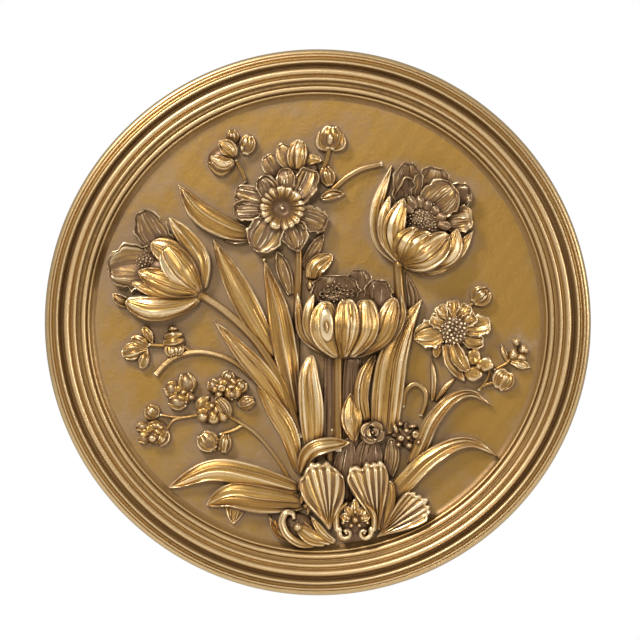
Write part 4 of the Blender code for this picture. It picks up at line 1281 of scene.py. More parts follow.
@dataclass
class LeftTulip(Group):
    """The tulip that lies to the left and opens away from its stem."""

    name: str = "left_tulip"
    seed: int = 14

    def carve(self, c: Carving) -> None:
        """Carve the back petals, the stamens, and the petals in front of them.

        Args:
            c: The carving.
        """
        c.blade([(-66, 31, 4), (-74.4, 40.5, 4.6), (-79.4, 50.2, 6)], 7.4, INSIDE.but(ripple=0.1), Tip.ROUND,
                grid=(46, 41))
        c.blade([(-70, 23, 4), (-83, 25, 4.8), (-94.4, 23.4, 6)], 10.6, INSIDE.but(ripple=0.09), Tip.ROUND,
                grid=(46, 41))
        c.disc(-64, 19.5, 14, 9.6, 8.6, base=3, turn=-28, stain=0.5, sides=48)
        c.disc(-76, 27.4, 6.6, 6.6, 5.6, rough=0.5, stain=0.8, sides=48, rings=18)
        c.stamens(-77.6, 27.4, 4.4, Count=30, Spread=4.6, Rise=1.4, Grain=0.42, Stretch=2.4, Lean=0.4, Seed=3)
        c.blade([(-52, 14.6, 5), (-53.6, 30, 8.4), (-66.7, 47.2, 6.2)], 4.8,
                SIDE.but(tilt=-0.8, folds=3, fold=0.6), Tip.LEAF, grid=(50, 31))
        c.blade([(-56, 17, 7), (-64.5, 29.5, 11.0), (-74.6, 35.6, 9.4)], 6.0,
                PETAL.but(folds=2, fold=0.5, crown=2.4), Tip.ROUND, foot=0.3, peak=0.62, grid=(46, 31))
        c.blade([(-84, 8.4, 3), (-88.6, 10, 5), (-92.6, 13, 4)], 2.8, LEAF.but(folds=4), foot=0.8,
                grid=(26, 31))
        c.blade([(-54, 12.6, 6), (-68, 13.2, 9.6), (-83.4, 17.6, 7)], 3.8, PETAL.but(folds=2), Tip.ROUND,
                foot=0.35, grid=(50, 31))
        c.blade([(-53, 11, 5), (-63, 7.2, 9), (-75, 6.0, 10.4), (-86.4, 9.4, 7)], 5.8,
                PETAL.but(folds=2, fold=0.7, sheen=1.0), Tip.ROUND, foot=0.35, peak=0.6, grid=(54, 39))
        c.blade([(-53.4, 13.2, 7), (-66, 17.0, 12.2), (-80.6, 22.8, 8.8)], 6.0,
                PETAL.but(crown=2.4, folds=6, fold=0.8), Tip.LEAF, foot=0.3, peak=0.55, grid=(54, 47))
        c.blade([(-52.8, 13.8, 8), (-60.4, 22.4, 14), (-68.6, 34.2, 11.4)], 7.4,
                PETAL.but(crown=3.0, sheen=-1.0), Tip.ROUND, foot=0.3, peak=0.6, grid=(56, 49))
        c.disc(-53, 12.4, 2.4, 2.8, 5.2, base=2, sides=24, rings=8)


@dataclass
class RightTulip(Group):
    """The tulip that leans right and shows its stamens."""

    name: str = "right_tulip"
    seed: int = 15
    heart: tuple[float, float] = (48.0, 45.6)

    def carve(self, c: Carving) -> None:
        """Carve the back petals, the stamens, and the petals in front of them.

        Args:
            c: The carving.
        """
        inside = INSIDE.but(crown=-1.4, ripple=0.08, warp=0.9)
        c.blade([(36, 26, 4), (27.4, 36, 6), (26.4, 51, 6.6), (33.4, 70.6, 5.2)], 3.0, SIDE.but(tilt=-0.5),
                Tip.LEAF, foot=0.35, grid=(56, 25))
        c.blade([(41, 46, 4), (40.4, 60, 5), (40.6, 71.8, 8)], 7.0, inside, Tip.ROUND, peak=0.6,
                grid=(46, 41))
        c.blade([(47, 46, 4), (51, 60, 5), (53.6, 69.6, 8)], 8.8, inside.but(ripples=4), Tip.ROUND, peak=0.6,
                grid=(46, 45))
        c.blade([(59, 54, 4), (64.5, 57, 5), (69.2, 57.8, 6.6)], 6.2, inside.but(stain=0.5), Tip.ROUND,
                grid=(36, 31))
        c.blade([(47, 47, 6), (54, 54.4, 6.5), (61.6, 60.4, 9)], 8.8,
                inside.but(ripple=0.05, vein=0.24, tone=0.3, stain=0.3), Tip.ROUND, peak=0.6, grid=(46, 45))
        c.blade([(54, 45, 5), (63, 46.2, 6), (69.2, 46.8, 8)], 6.0,
                inside.but(vein=0.24, tone=0.3, stain=0.28), Tip.BLUNT, peak=0.6, tip=0.4, grid=(44, 39))
        c.disc(46, 36.5, 14.5, 12, 8.2, base=3, turn=30, stain=0.6, sides=48)
        c.blade([(39, 25.5, 4), (51, 24.8, 6), (62.4, 31.6, 6.6), (70, 41.4, 5)], 4.4,
                SIDE.but(tilt=-0.4, folds=3, fold=0.6), foot=0.35, grid=(56, 33))
        c.disc(48.2, 46.4, 10.6, 10.2, 8.4, rough=0.55, stain=0.8, turn=-35, sides=84, rings=30)
        c.stamens(47.4, 45.6, 6.6, Count=120, Spread=8.4, Rise=1.4, Grain=0.36, Stretch=2.8, Lean=0.8, Seed=5)
        roll = RIBBED.but(crown=1.2, folds=1, fold=0.9, tone=-0.7, stain=0.5)
        for x, y, half in ((39.4, 51.8, 2.1), (42.0, 54.4, 2.4), (45.6, 54.6, 2.4), (49.2, 52.8, 2.4),
                           (52.8, 50.4, 2.4), (55.8, 47.2, 2.5), (57.4, 43.2, 2.4)):
            dx, dy = x - self.heart[0], y - self.heart[1]
            c.blade([(x - 0.4 * dx, y - 0.4 * dy, 8.4), (x, y, 9.4), (x + 0.24 * dx, y + 0.24 * dy, 8.6)],
                    half, roll, Tip.ROUND, foot=0.6, grid=(22, 17))
        c.blade([(44, 63.4, 7), (39.4, 65, 8.4), (37.2, 61.6, 8.4), (34.2, 56.6, 7.8)], 0.8,
                SMALL.but(stain=0.2, ripple=0.12), foot=0.4, grid=(34, 13))
        c.blade([(35.8, 27, 6), (30.4, 37, 9), (29.8, 47, 9.6), (32.4, 56.8, 8.2)], 3.2, SIDE, Tip.LEAF,
                foot=0.3, grid=(50, 29))
        c.blade([(36.5, 27, 6), (33.8, 41, 12), (38.6, 55.6, 9.8)], 5.4, PETAL, Tip.LEAF, foot=0.28,
                grid=(54, 41))
        c.blade([(46, 25.4, 6), (58.8, 31, 10.4), (62.6, 42, 8.8)], 5.0,
                PETAL.but(folds=2, crown=1.8, lip=0.7), Tip.LEAF, foot=0.3, grid=(50, 37))
        c.blade([(36.6, 26.8, 5.4), (39.2, 34.5, 13.8), (44.4, 41.6, 12)], 6.0,
                PETAL.but(fold=1.1, scallop=0.5), Tip.ROUND, foot=0.28, peak=0.6, grid=(54, 47))
        c.blade([(37, 26.6, 5.4), (43.6, 33, 14.4), (50.4, 39.4, 12.4)], 6.4,
                PETAL.but(fold=1.1, crown=2.2, scallop=0.5, sheen=0.5), Tip.ROUND, foot=0.28, peak=0.62,
                grid=(54, 49))
        c.blade([(37.6, 26.2, 5.4), (47.8, 29.6, 14.8), (58.2, 38.8, 12)], 7.2,
                PETAL.but(folds=6, fold=1.1, crown=3.0, scallop=0.5), Tip.ROUND, foot=0.25, peak=0.62,
                grid=(60, 61))
        c.disc(36.4, 26.2, 2.8, 2.0, 5.6, base=2, sides=24, rings=8)


@dataclass
class CentreTulip(Group):
    """The upright tulip in the middle, the highest form of the relief."""

    name: str = "centre_tulip"
    seed: int = 16

    def carve(self, c: Carving) -> None:
        """Carve the back petals, the curled stamens, and the petals in front of them.

        Args:
            c: The carving.
        """
        inside = INSIDE.but(crown=-1.2, ripples=4, warp=0.9, stain=0.6)
        c.blade([(8, 4, 4), (8, 14, 5.5), (8.2, 21.4, 8)], 11, inside, Tip.ROUND, peak=0.6, grid=(40, 47))
        c.blade([(19.4, 4, 4), (18.6, 15, 5.2), (18.2, 24, 8)], 6.6, inside, Tip.ROUND, peak=0.6)
        c.blade([(27, 4, 4), (27, 12, 5.2), (27.6, 19.4, 7.5)], 6.6, inside, Tip.ROUND, peak=0.6)
        c.disc(13.4, 0, 20.5, 15, 8.2, base=3, turn=-4, stain=0.7, sides=64)
        c.disc(9, 11.6, 10.4, 5.8, 8.4, rough=0.5, stain=0.8, sides=72, rings=26)
        c.stamens(8.6, 11.8, 7.0, Count=44, Spread=6.4, Rise=1.2, Grain=0.38, Stretch=2.4, Lean=0.8, Seed=9)
        for x, y, size in ((1.8, 12.4, 1.0), (4.4, 14.6, 1.3), (7.2, 12.8, 1.1), (8.2, 15.2, 1.0),
                           (11.4, 13.6, 1.2), (15, 14, 1.0)):
            curl = spiral(x, y, 1.3 * size, 0.5 * size, 40 * x, 40 * x + 250, (8.6, 9.8), 7)
            c.blade(curl, 0.5, SMALL.but(stain=0.4), foot=0.7, tip=0.5, grid=(20, 9))
        c.blade([(5, -15.4, 4), (-5.6, -6.4, 7.2), (-8.2, 4, 8.2), (-9, 13.4, 6.8)], 2.5,
                SIDE.but(tilt=-0.6, lip=0.8), Tip.LEAF, foot=0.3, grid=(54, 25))
        c.blade([(6.4, -15.6, 6), (-2.6, -5, 10.2), (-4.0, 5, 11.2), (-1.7, 12.6, 9.6)], 3.2, SIDE, Tip.LEAF,
                foot=0.3, grid=(54, 29))
        c.blade([(19, -15.6, 4.6), (32, -8, 7.4), (37.8, 3, 8), (37.2, 12.8, 6.8)], 2.2, SIDE.but(tilt=0.6),
                Tip.LEAF, foot=0.3, grid=(54, 25))
        c.blade([(17, -15.4, 6), (28.4, -6, 11), (32, 3.4, 11.2), (34.6, 11, 8.6)], 5.2,
                PETAL.but(crown=2.2, folds=3, fold=0.9, lip=0.9, sheen=-0.8), Tip.ROUND, foot=0.3, peak=0.6,
                grid=(58, 41))
        c.blade([(14.6, -15.6, 8), (21.4, -4, 14.0), (21.2, 10.2, 11.4)], 5.8,
                PETAL.but(folds=3, fold=0.8, lip=0.8, crown=2.2), Tip.BLUNT, foot=0.3, peak=0.62, tip=0.2,
                grid=(58, 41))
        c.blade([(8.8, -15.8, 8), (3.0, -4, 15), (3.9, 9.6, 12.2)], 6.6, PETAL.but(folds=0, crown=2.4),
                Tip.ROUND, foot=0.3, peak=0.6, grid=(58, 45))
        # The oval ring on the front petal takes a high tone, which paints it pale: a painted highlight
        c.disc(3.9, -1.2, 3.3, 7.4, 16.9, base=14.4, turn=4, dip=1.5, dip_reach=0.6, tone=0.9, sides=44,
               rings=18)
        c.disc(4.0, -2.2, 1.1, 3.2, 17.0, base=14.8, turn=4, sides=24, rings=10)
        c.blade([(11.6, -15.8, 8), (12.9, -3, 16.6), (13, 10.2, 12.8)], 5.8,
                PETAL.but(folds=3, crown=2.2, scallop=0.4, sheen=1.0), Tip.BLUNT, foot=0.3, peak=0.6, tip=0.2,
                grid=(58, 41))
        c.disc(11.6, -14.8, 4.0, 1.8, 6.6, base=3, sides=30, rings=9)


@dataclass
class LongLeaves(Group):
    """The long leaves that fan out to the left and stand round the middle stem."""

    name: str = "long_leaves"
    seed: int = 17

    def carve(self, c: Carving) -> None:
        """Carve the leaves behind first, then those in front.

        Args:
            c: The carving.
        """
        ridged = LEAF.but(folds=4, fold=0.62)
        plain = LEAF.but(folds=2, fold=0.4, stain=0.35)
        c.blade([(-30, 37, 3.6), (-36, 37, 4.4), (-42.4, 36.6, 3)], 2.0, plain.but(stain=0.7), grid=(30, 31))
        c.blade([(-28, 39, 4), (-40, 42, 5.8), (-53, 49.4, 5.8), (-62.8, 62, 3.2)], 5.4, ridged,
                grid=(64, 39))
        c.blade([(-12, 12, 2.5), (-15.6, 24, 3.6), (-18.6, 33, 3)], 3.6, plain)
        c.blade([(-7, 24, 2.5), (-2, 32, 3.6), (3, 40.5, 2.6)], 3.2, plain)
        c.blade([(-19, -16, 3), (-29, 2, 5.6), (-37.4, 18, 6.2), (-47.2, 37.4, 3.2)], 5.8,
                ridged.but(tilt=0.6), grid=(70, 39))
        c.blade([(-9, -50, 3), (-21, -29, 5), (-33, -14.5, 5.6), (-47, 0.9, 2.8)], 4.8,
                LEAF.but(keel=0.5, folds=4), grid=(60, 37))
        c.blade([(-8, -68, 3), (-13, -50, 5), (-20, -38, 5.6), (-29.4, -22.8, 2.8)], 4.6, ridged,
                grid=(60, 37))
        c.blade([(-9, -42, 3), (-14.4, -14, 5.2), (-17.6, 4, 6.2), (-24.2, 28.4, 3.2)], 5.6,
                LEAF.but(keel=0.5), grid=(70, 37))
        c.disc(-24.3, 28.2, 1.2, 1.6, 4.6, base=2, sides=16, rings=6)
        c.blade([(-2.4, 19, 4), (-0.6, 25, 6), (6.8, 30.5, 3.6)], 4.4, LEAF.but(folds=4), Tip.LEAF, foot=0.8)
        c.disc(-3.2, 16.4, 2.0, 2.8, 6.2, base=2, sides=24, rings=9)
        c.blade([(-2, -64, 2.4), (-2.8, -40, 7.2), (-4, -25, 7.6), (-2.8, -14.6, 5.2)], 5.6,
                STRAP.but(folds=3, fold=1.1), Tip.ROUND, foot=0.4, grid=(54, 41))
        c.blade([(21.5, -45, 4), (19.6, -34, 6), (21.2, -23.5, 5.6), (27, -12.6, 3.2)], 3.6,
                LEAF.but(lip=0.5), foot=0.8, grid=(50, 31))
        c.blade([(16.4, -54, 4), (15.2, -44, 6.2), (14.8, -31.6, 3.8)], 5.0, LEAF.but(folds=2, keel=0.6),
                foot=0.2)


@dataclass
class MainStems(Group):
    """The stems of the tulips and the thick stalks in the middle."""

    name: str = "main_stems"
    seed: int = 18

    def carve(self, c: Carving) -> None:
        """Lay the stems along their paths, and the narrow leaf beside the right one.

        Args:
            c: The carving.
        """
        strip = STRAP.but(folds=3, fold=0.5, stain=0.8)
        c.blade([(41, -2, 2), (43, 10, 3), (39.5, 23, 2)], 2.6, LEAF.but(stain=0.4), grid=(34, 31))
        c.stem([(-8, -52, 3.6), (-15, -30, 4.6), (-27, -9.5, 5.2), (-41, 4.6, 5.2), (-55, 14, 5.4)], 1.8,
               thin=1.0)
        c.stem([(9.2, -58, 5), (9, -34, 5.2), (9, -12, 5.4)], 1.8, thin=1.0)
        c.blade([(4.6, -62, 2.6), (5.2, -36, 3.6), (5.2, -14, 3.2)], 2.8, strip, Tip.BLUNT, foot=0.9, tip=0.6,
                grid=(30, 29))
        c.blade([(15.4, -58, 2.4), (15.6, -36, 3.2), (15.8, -15, 2.8)], 4.9, strip.but(folds=6), Tip.BLUNT,
                foot=0.9, tip=0.6, grid=(30, 41))
        c.stem([(29, -13, 4), (38, 0, 5), (36.6, 14, 4.8), (35.8, 28, 5.4)], 2.4, thin=0.9)
        c.stem([(-2.5, -76, 3.2), (-2.8, -62, 3.6), (-2, -48, 3.6)], 1.5, thin=1.0)
        c.stem([(5.8, -66, 3), (5.4, -58, 3.4), (6.8, -48, 3.4)], 1.6, thin=1.0)


@dataclass
class LeftSprigs(Group):
    """The arching sprig with its fruit, and the sprig of buds and berries below it."""

    name: str = "left_sprigs"
    seed: int = 19
    fruit: tuple[float, float] = (-64.8, -9.0)
    lobes: int = 6

    def carve(self, c: Carving) -> None:
        """Carve the twigs, the banded fruit, and the buds and berries.

        Args:
            c: The carving.
        """
        self.carve_upper(c)
        self.carve_lower(c)

    def carve_upper(self, c: Carving) -> None:
        """Carve the arching sprig with its fruit and the small leaves at its end.

        Args:
            c: The carving.
        """
        c.stem([(-28.6, -26, 3.2), (-34.3, -20.3, 3.6), (-42, -15.6, 3.8), (-53, -13.2, 3.8),
                (-62.3, -14.9, 3.8), (-68.4, -18.6, 3.6), (-73, -23.6, 3.8)], 1.1, thin=1.25)
        c.stem([(-56, -13.5, 3.2), (-60, -11.2, 3.8)], 0.9)
        x, y = self.fruit
        c.disc(x, y, 5.2, 5.6, 5.6, rough=0.3, stain=0.3)
        c.bud(x + 0.3, y - 3.0, 4.3, 3.4, 6.6, turn=190, petals=4, section=RIBBED)
        bands = (((-5.0, -0.2), (4.8, 1.2), 0.5, 1.9), ((-4.4, 2.6), (4.2, 3.9), 0.5, 1.7))
        for left, right, lift, half in bands:
            c.blade([(x + left[0], y + left[1], 4.6), (x, y + left[1] + lift, 7.4),
                     (x + right[0], y + right[1], 5)], half, SMALL, Tip.ROUND, foot=0.7, grid=(26, 15))
        c.disc(-65.2, -2.9, 2.5, 1.8, 5.0, base=2, sides=20, rings=7)
        c.disc(-63.4, -14.2, 2.4, 1.3, 4.6, base=2, turn=-20, sides=20, rings=7)
        c.stem([(-69, -10.5, 3), (-76, -10, 3.2)], 0.85)
        whorl = SMALL.but(crown=1.7, folds=2, fold=0.7, lip=0.5, veins=3, vein=0.1)
        for foot, tip, half in (((-76, -11.6), (-88.4, -14.6), 4.2), ((-75.6, -10.8), (-84.2, -7.2), 2.8),
                                ((-74.2, -9.6), (-78.6, -1.6), 2.5), ((-76.4, -12.6), (-79.6, -21), 2.6)):
            spine = [(*foot, 2.6), (0.5 * (foot[0] + tip[0]), 0.5 * (foot[1] + tip[1]) + 0.5, 5.0),
                     (*tip, 3.4)]
            c.blade(spine, half, whorl, Tip.ROUND, foot=0.25, peak=0.6, grid=(28, 23))

    def carve_lower(self, c: Carving) -> None:
        """Carve the sprig of buds and berries.

        Args:
            c: The carving.
        """
        c.stem([(-10, -76, 3), (-18, -62, 3.2), (-28, -50, 3.2), (-41, -41.5, 3.2)], 0.95)
        c.stem([(-34, -46.4, 2.6), (-38, -48.6, 2.8), (-44, -50.5, 2.8)], 0.75)
        for x, y, rx, ry, top in ((-47.2, -39.2, 7.4, 7.0, 6.2), (-40.6, -29, 7.6, 5.8, 5.4),
                                  (-61.6, -31.4, 5.6, 5.6, 5.0), (-73.6, -49.2, 7.0, 5.6, 4.8),
                                  (-47, -54.2, 5.6, 3.4, 4.0)):
            c.disc(x, y, rx, ry, top - 1.4, stain=0.6, sides=40)
            for k in range(self.lobes):
                reach = 0.7 * math.sqrt((k + 0.6) / self.lobes)
                size = 0.34 + 0.05 * (k % 3)
                c.disc(x + rx * reach * math.cos(GOLDEN_ANGLE * k),
                       y + ry * reach * math.sin(GOLDEN_ANGLE * k), size * rx, size * ry, top + 0.6 - reach,
                       base=2.2, turn=50 * k, dip=0.9 * (k % 3 == 1), dip_reach=0.45, lobes=2, lobe=0.05,
                       crease=0.6, tone=-0.4, sides=24, rings=9)
        c.stem([(-54, -41.8, 2.6), (-62, -42.8, 2.8), (-71, -41.6, 2.6)], 0.65)
        c.stem([(-60, -42.6, 2.6), (-65, -44.2, 2.8), (-68, -48, 2.6)], 0.65)
        c.stem([(-52, -36.5, 2.6), (-57.6, -32.5, 2.8)], 0.7)
        c.blade([(-40.6, -43, 4), (-41.8, -38.6, 7.0), (-46, -33.4, 5.6)], 3.4,
                LEAF.but(stain=0.2, crown=1.6), Tip.LEAF, grid=(28, 31))
        c.blade([(-53, -40.6, 4), (-52.6, -36.6, 6.4), (-48.6, -33.2, 5.2)], 2.4, SMALL, Tip.LEAF,
                grid=(26, 13))
        buds = ((-58.8, -27.2, 4.0, 4.8, 6.2, 14, 2), (-65.6, -30, 3.8, 3.4, 5.4, 60, 2),
                (-63.0, -36, 3.4, 4.6, 6, 80, 2), (-47, -28.4, 3.0, 3.0, 5.2, 30, 2),
                (-40.4, -24.6, 3.0, 3.0, 5.6, -20, 3), (-34.8, -28.7, 3.2, 3.2, 5.4, -40, 3),
                (-38.6, -32.4, 3.0, 2.5, 6, 20, 2), (-32.2, -36, 3.0, 4.2, 5.2, -70, 4),
                (-74.6, -40.4, 3.6, 3.6, 5.2, 40, 3), (-78.6, -47, 2.2, 3.6, 4.8, 100, 2),
                (-73, -46.6, 2.4, 3.7, 5.2, 95, 2), (-78, -52.4, 2.2, 3.2, 4.4, 100, 2),
                (-69.8, -51.8, 3.2, 4.0, 5.6, 150, 3), (-49.6, -53.6, 4.7, 5.0, 6.2, 40, 4),
                (-41.7, -54.6, 2.8, 4.7, 5.8, -6, 3))
        for x, y, rx, ry, top, turn, petals in buds:
            c.bud(x, y, rx, ry, top, turn=turn, petals=petals)
        for x, y, size, dip in ((-43.2, -29.6, 2.4, 1.4), (-47.6, -37.4, 2.0, 0), (-56.8, -33.6, 1.8, 0),
                                (-51.6, -42.4, 2.9, 0), (-46.8, -43.4, 2.9, 1.0), (-74.2, -52.2, 2.2, 0.6),
                                (-44.4, -32.4, 2.0, 0)):
            c.disc(x, y, size, 0.9 * size, 6.9, base=2.6, dip=dip, dip_reach=0.45, sides=24, rings=9)


@dataclass
class LowerLeftLeaves(Group):
    """The two broad leaves that sweep left along the bottom, with the small shell tip below them."""

    name: str = "lower_left_leaves"
    seed: int = 20

    def carve(self, c: Carving) -> None:
        """Carve the upper leaf, the lower leaf over it, and the shell tip.

        Args:
            c: The carving.
        """
        c.blade([(-37, -81, 3), (-38.2, -91, 2.2)], 4.6, FLUTED.but(folds=5), peak=0.2, foot=0.9,
                grid=(24, 31))
        c.blade([(-8, -75, 4), (-30, -68.6, 5.8), (-48, -66.6, 5.8), (-67, -74.4, 3.2)], 5.4,
                LEAF.but(folds=4, fold=0.65, sheen=-0.4), Tip.LEAF, grid=(70, 39))
        c.blade([(-6, -81.5, 4), (-25, -79.6, 6.2), (-39, -77.8, 6.2), (-50.2, -82.2, 3.2)], 6.4,
                LEAF.but(folds=5, fold=0.6, sheen=0.5), Tip.LEAF, grid=(66, 45))


@dataclass
class Anemone(Group):
    """The open flower on the right: crinkled petals round a dome of stamens."""

    name: str = "anemone"
    seed: int = 21
    middle: tuple[float, float] = (61.2, -3.2)

    def carve(self, c: Carving) -> None:
        """Carve the petals, the dome of stamens, the bud on its twig and the thin leaves.

        Args:
            c: The carving.
        """
        x, y = self.middle
        crinkled = Section(crown=-0.4, folds=4, fold=0.8, veins=6, lip=0.5, ripple=0.09, ripples=3, warp=0.5,
                           stain=0.1)
        c.blade([(51.5, -36, 2.2), (52.2, -26, 3.2), (51, -15, 2.8)], 1.5, SMALL.but(keel=0.3), foot=0.7,
                grid=(34, 13))
        c.blade([(53, -36, 2.2), (57.5, -29.4, 3.2), (63, -24, 2.8)], 1.5, SMALL.but(keel=0.3), foot=0.7,
                grid=(34, 13))
        for dx, dy in ((-8.8, 4.4), (8.0, 5.4), (-5.8, 8.8), (5.2, 9.2), (-0.6, 10.8)):
            c.blade([(x + 0.4 * dx, y + 0.4 * dy, 4.6), (x + 0.8 * dx, y + 0.8 * dy, 6.2),
                     (x + 1.22 * dx, y + 1.22 * dy, 4.8)], 3.5, crinkled, Tip.BLUNT, foot=0.7, peak=0.6,
                    tip=0.3, grid=(28, 29))
        c.blade([(65, -3, 5), (71.6, -1.6, 4.8), (77.6, -1.2, 5.8)], 5.0, crinkled, Tip.BLUNT, grid=(32, 31))
        c.blade([(65, -7, 4.4), (70.4, -8.6, 4.6), (74.6, -8.8, 5)], 3.8, crinkled, Tip.BLUNT, grid=(32, 31))
        c.blade([(56, -4, 5), (49, -5.5, 4.8), (42.9, -6.8, 4.4)], 6.6, crinkled, Tip.LEAF, foot=0.7,
                peak=0.4, grid=(36, 37))
        c.blade([(55.4, -8, 4.2), (53.8, -11.8, 4.8), (52.8, -16, 3.8)], 2.4, SMALL, Tip.ROUND, grid=(24, 31))
        c.blade([(57, -9, 4.4), (59.6, -18, 5.4), (66, -26.4, 5)], 2.9,
                crinkled.but(crown=0.4, folds=3, ripple=0.05), Tip.LEAF, peak=0.45)
        c.blade([(60.8, -9, 4.8), (63.2, -16, 6.2), (67.6, -22, 5.4)], 3.6,
                crinkled.but(folds=3, ripple=0.05), Tip.ROUND)
        c.disc(x, y, 6.9, 7.4, 6.6, base=3.4, rough=0.5, stain=0.9, sides=64, rings=22)
        c.stamens(x, y, 4.9, Count=42, Spread=6.2, Rise=2.2, Grain=0.62, Stretch=1.5, Lean=0.9, Seed=7)
        c.stem([(65.5, 4.6, 2.6), (70, 8.6, 2.8)], 0.8)
        c.bud(73.2, 11.8, 4.6, 4.8, 6.2, turn=-48, petals=3, section=RIBBED)


@dataclass
class RightSprigs(Group):
    """The small three-petalled blossom, the bud and the leafy tip at the right edge."""

    name: str = "right_sprigs"
    seed: int = 22

    def carve(self, c: Carving) -> None:
        """Carve the twigs, the blossom, the bud and the leafy tip.

        Args:
            c: The carving.
        """
        c.stem([(72.5, -30.6, 2.2), (76.4, -25, 2.8), (77.6, -19, 2.8)], 0.7)
        c.stem([(74.6, -28.4, 2.2), (79.6, -27, 2.8)], 0.75)
        c.stem([(79.6, -21.4, 2.2), (85, -18.4, 2.8), (87.6, -15, 2.8)], 0.7)
        for x, y, rx, ry, dip in ((70.2, -15.6, 3.2, 3.8, 1.5), (75.4, -18.8, 3.7, 3.3, 1.0),
                                  (69.8, -23.2, 4.3, 3.4, 1.1), (72.2, -19.8, 1.6, 1.6, 0)):
            c.disc(x, y, rx, ry, 6.6, base=3.6, dip=1.9 * dip, dip_reach=0.62, lobes=4, lobe=0.05, crease=0.3,
                   tone=-0.4, sides=36)
        c.bud(83.4, -25.8, 4.8, 5.0, 5.8, turn=-30, petals=5, section=RIBBED)
        c.blade([(85.6, -18, 2.6), (84, -14, 3.6), (82.6, -9.8, 2.2)], 1.6, SMALL, grid=(22, 13))
        c.blade([(86.4, -17.6, 2.6), (91, -18.6, 4), (96, -20.4, 2.2)], 2.5, SIDE, grid=(26, 31))
        for x, y, rx, ry in ((88.2, -14.6, 2.5, 2.7), (92.6, -12.3, 2.4, 2.3), (91.4, -15.8, 2.6, 2.0),
                             (89.2, -8.8, 1.9, 2.0)):
            c.disc(x, y, rx, ry, 4.8, base=2, lobes=3, lobe=0.06, crease=0.4, sides=24, rings=8)
        c.stem([(89.2, -13, 2.4), (89.4, -9, 2.6)], 0.5)


@dataclass
class RightLeaves(Group):
    """The tall ribbed leaf, the loop beside it and the two leaves that curl over to the right."""

    name: str = "right_leaves"
    seed: int = 23

    def carve(self, c: Carving) -> None:
        """Carve the tall leaf, the loop and the two curled leaves.

        Args:
            c: The carving.
        """
        c.blade([(30, -51, 3.0), (30.8, -38, 6.0), (32, -26, 6.8), (34, -15, 7.2), (39.5, -1, 6.2),
                 (46.8, 10.4, 3.2)], 7.2, STRAP.but(folds=8, fold=0.8, crown=1.0), foot=0.85, peak=0.35,
                grid=(70, 67))
        loop = [(38, -38, 3.2), (39.4, -30.8, 4.2), (43.8, -27.6, 4.4), (48, -30.6, 4.2), (48.4, -36, 3.8),
                (46.4, -42, 3.2)]
        c.stem(loop, 1.25)
        c.stem([(x * 0.94 + 2.65, y * 0.9 - 3.4, h - 0.6) for x, y, h in loop], 0.6)
        c.blade([(42, -66, 3), (47, -54, 5.4), (51.6, -44, 6.2), (60, -34.6, 6.2), (69, -31.8, 5.2),
                 (78.2, -37.4, 3.2)], 3.7, LEAF.but(tilt=-0.3), foot=0.9, peak=0.25, grid=(66, 31))
        c.blade([(28, -84, 2.4), (37.8, -73.5, 5), (48, -63, 6.2), (60, -55.4, 6.2), (70, -54.2, 5.2),
                 (80.6, -60, 3.2)], 4.6, LEAF.but(folds=4, fold=0.7), foot=0.8, peak=0.3, grid=(66, 37))


@dataclass
class RosetteAndBerries(Group):
    """The small rose and the cluster of berries below the ribbed leaf, on their stalks."""

    name: str = "rosette_and_berries"
    seed: int = 24
    rose: tuple[float, float] = (24.6, -49.4)

    def carve(self, c: Carving) -> None:
        """Carve the stalks, the rose petal by petal, and the berries.

        Args:
            c: The carving.
        """
        c.blade([(21.5, -74, 3.2), (22.6, -62, 4.2), (24, -52, 3.4)], 6.8, STRAP.but(folds=6, stain=0.7),
                Tip.ROUND, foot=0.9, grid=(30, 49))
        c.blade([(32, -70, 3.2), (33.4, -60, 4.2), (33, -52, 3.2)], 3.8, LEAF.but(stain=0.3), Tip.ROUND,
                grid=(34, 31))
        c.blade([(10.5, -84, 3.0), (11.6, -68, 4.6), (14, -52, 3.6)], 5.4, STRAP.but(stain=0.7), Tip.ROUND,
                foot=0.9, grid=(34, 31))
        x, y = self.rose
        c.disc(x, y, 5.8, 5.4, 5.2, base=3.4, lobes=5, lobe=0.07, crease=0.8, stain=0.6, sides=40)
        petals = ((95, 215, 4.0, 6.2, 1.9), (185, 300, 3.9, 6.0, 2.1), (-85, 20, 4.0, 6.0, 1.9),
                  (-5, 110, 3.9, 6.3, 1.8), (120, 260, 1.9, 7.4, 1.3), (-60, 90, 1.8, 7.6, 1.3))
        for first, last, reach, height, half in petals:
            spine = [(x + reach * math.cos(math.radians(first + (last - first) * k / 5)),
                      y + 0.92 * reach * math.sin(math.radians(first + (last - first) * k / 5)),
                      height + 0.35 * k) for k in range(6)]
            c.blade(spine, half, SMALL.but(crown=1.0, lip=0.35, stain=0.3), foot=0.4, grid=(24, 15))
        c.disc(x, y, 0.9, 1.2, 8.6, base=4, turn=20, sides=16, rings=6)
        c.disc(39.6, -50.8, 6.4, 5.6, 4.6, lobes=8, lobe=0.08, crease=1.0, rough=0.3, stain=0.6, sides=48,
               rings=16)
        seeds = ((34.8, -47.7, 1.5, 3.0, 20, 0), (39.8, -48.6, 1.7, 1.6, 0, 0),
                 (43.9, -50.4, 2.1, 2.3, 0, 1.3), (37.4, -52.0, 2.0, 1.8, 0, 0.6),
                 (40.6, -51.8, 1.6, 1.4, 0, 0), (41, -55.3, 1.9, 1.8, 0, 0), (42.6, -46.6, 2.4, 1.1, 10, 0),
                 (36.2, -55.0, 1.5, 1.3, 30, 0), (37.0, -45.6, 1.4, 1.2, 0, 0.4),
                 (45.2, -53.8, 1.3, 1.6, -20, 0))
        for bx, by, rx, ry, turn, dip in seeds:
            c.disc(bx, by, rx, ry, 6.8, base=2.4, turn=turn, dip=dip, dip_reach=0.45, sides=26, rings=10)


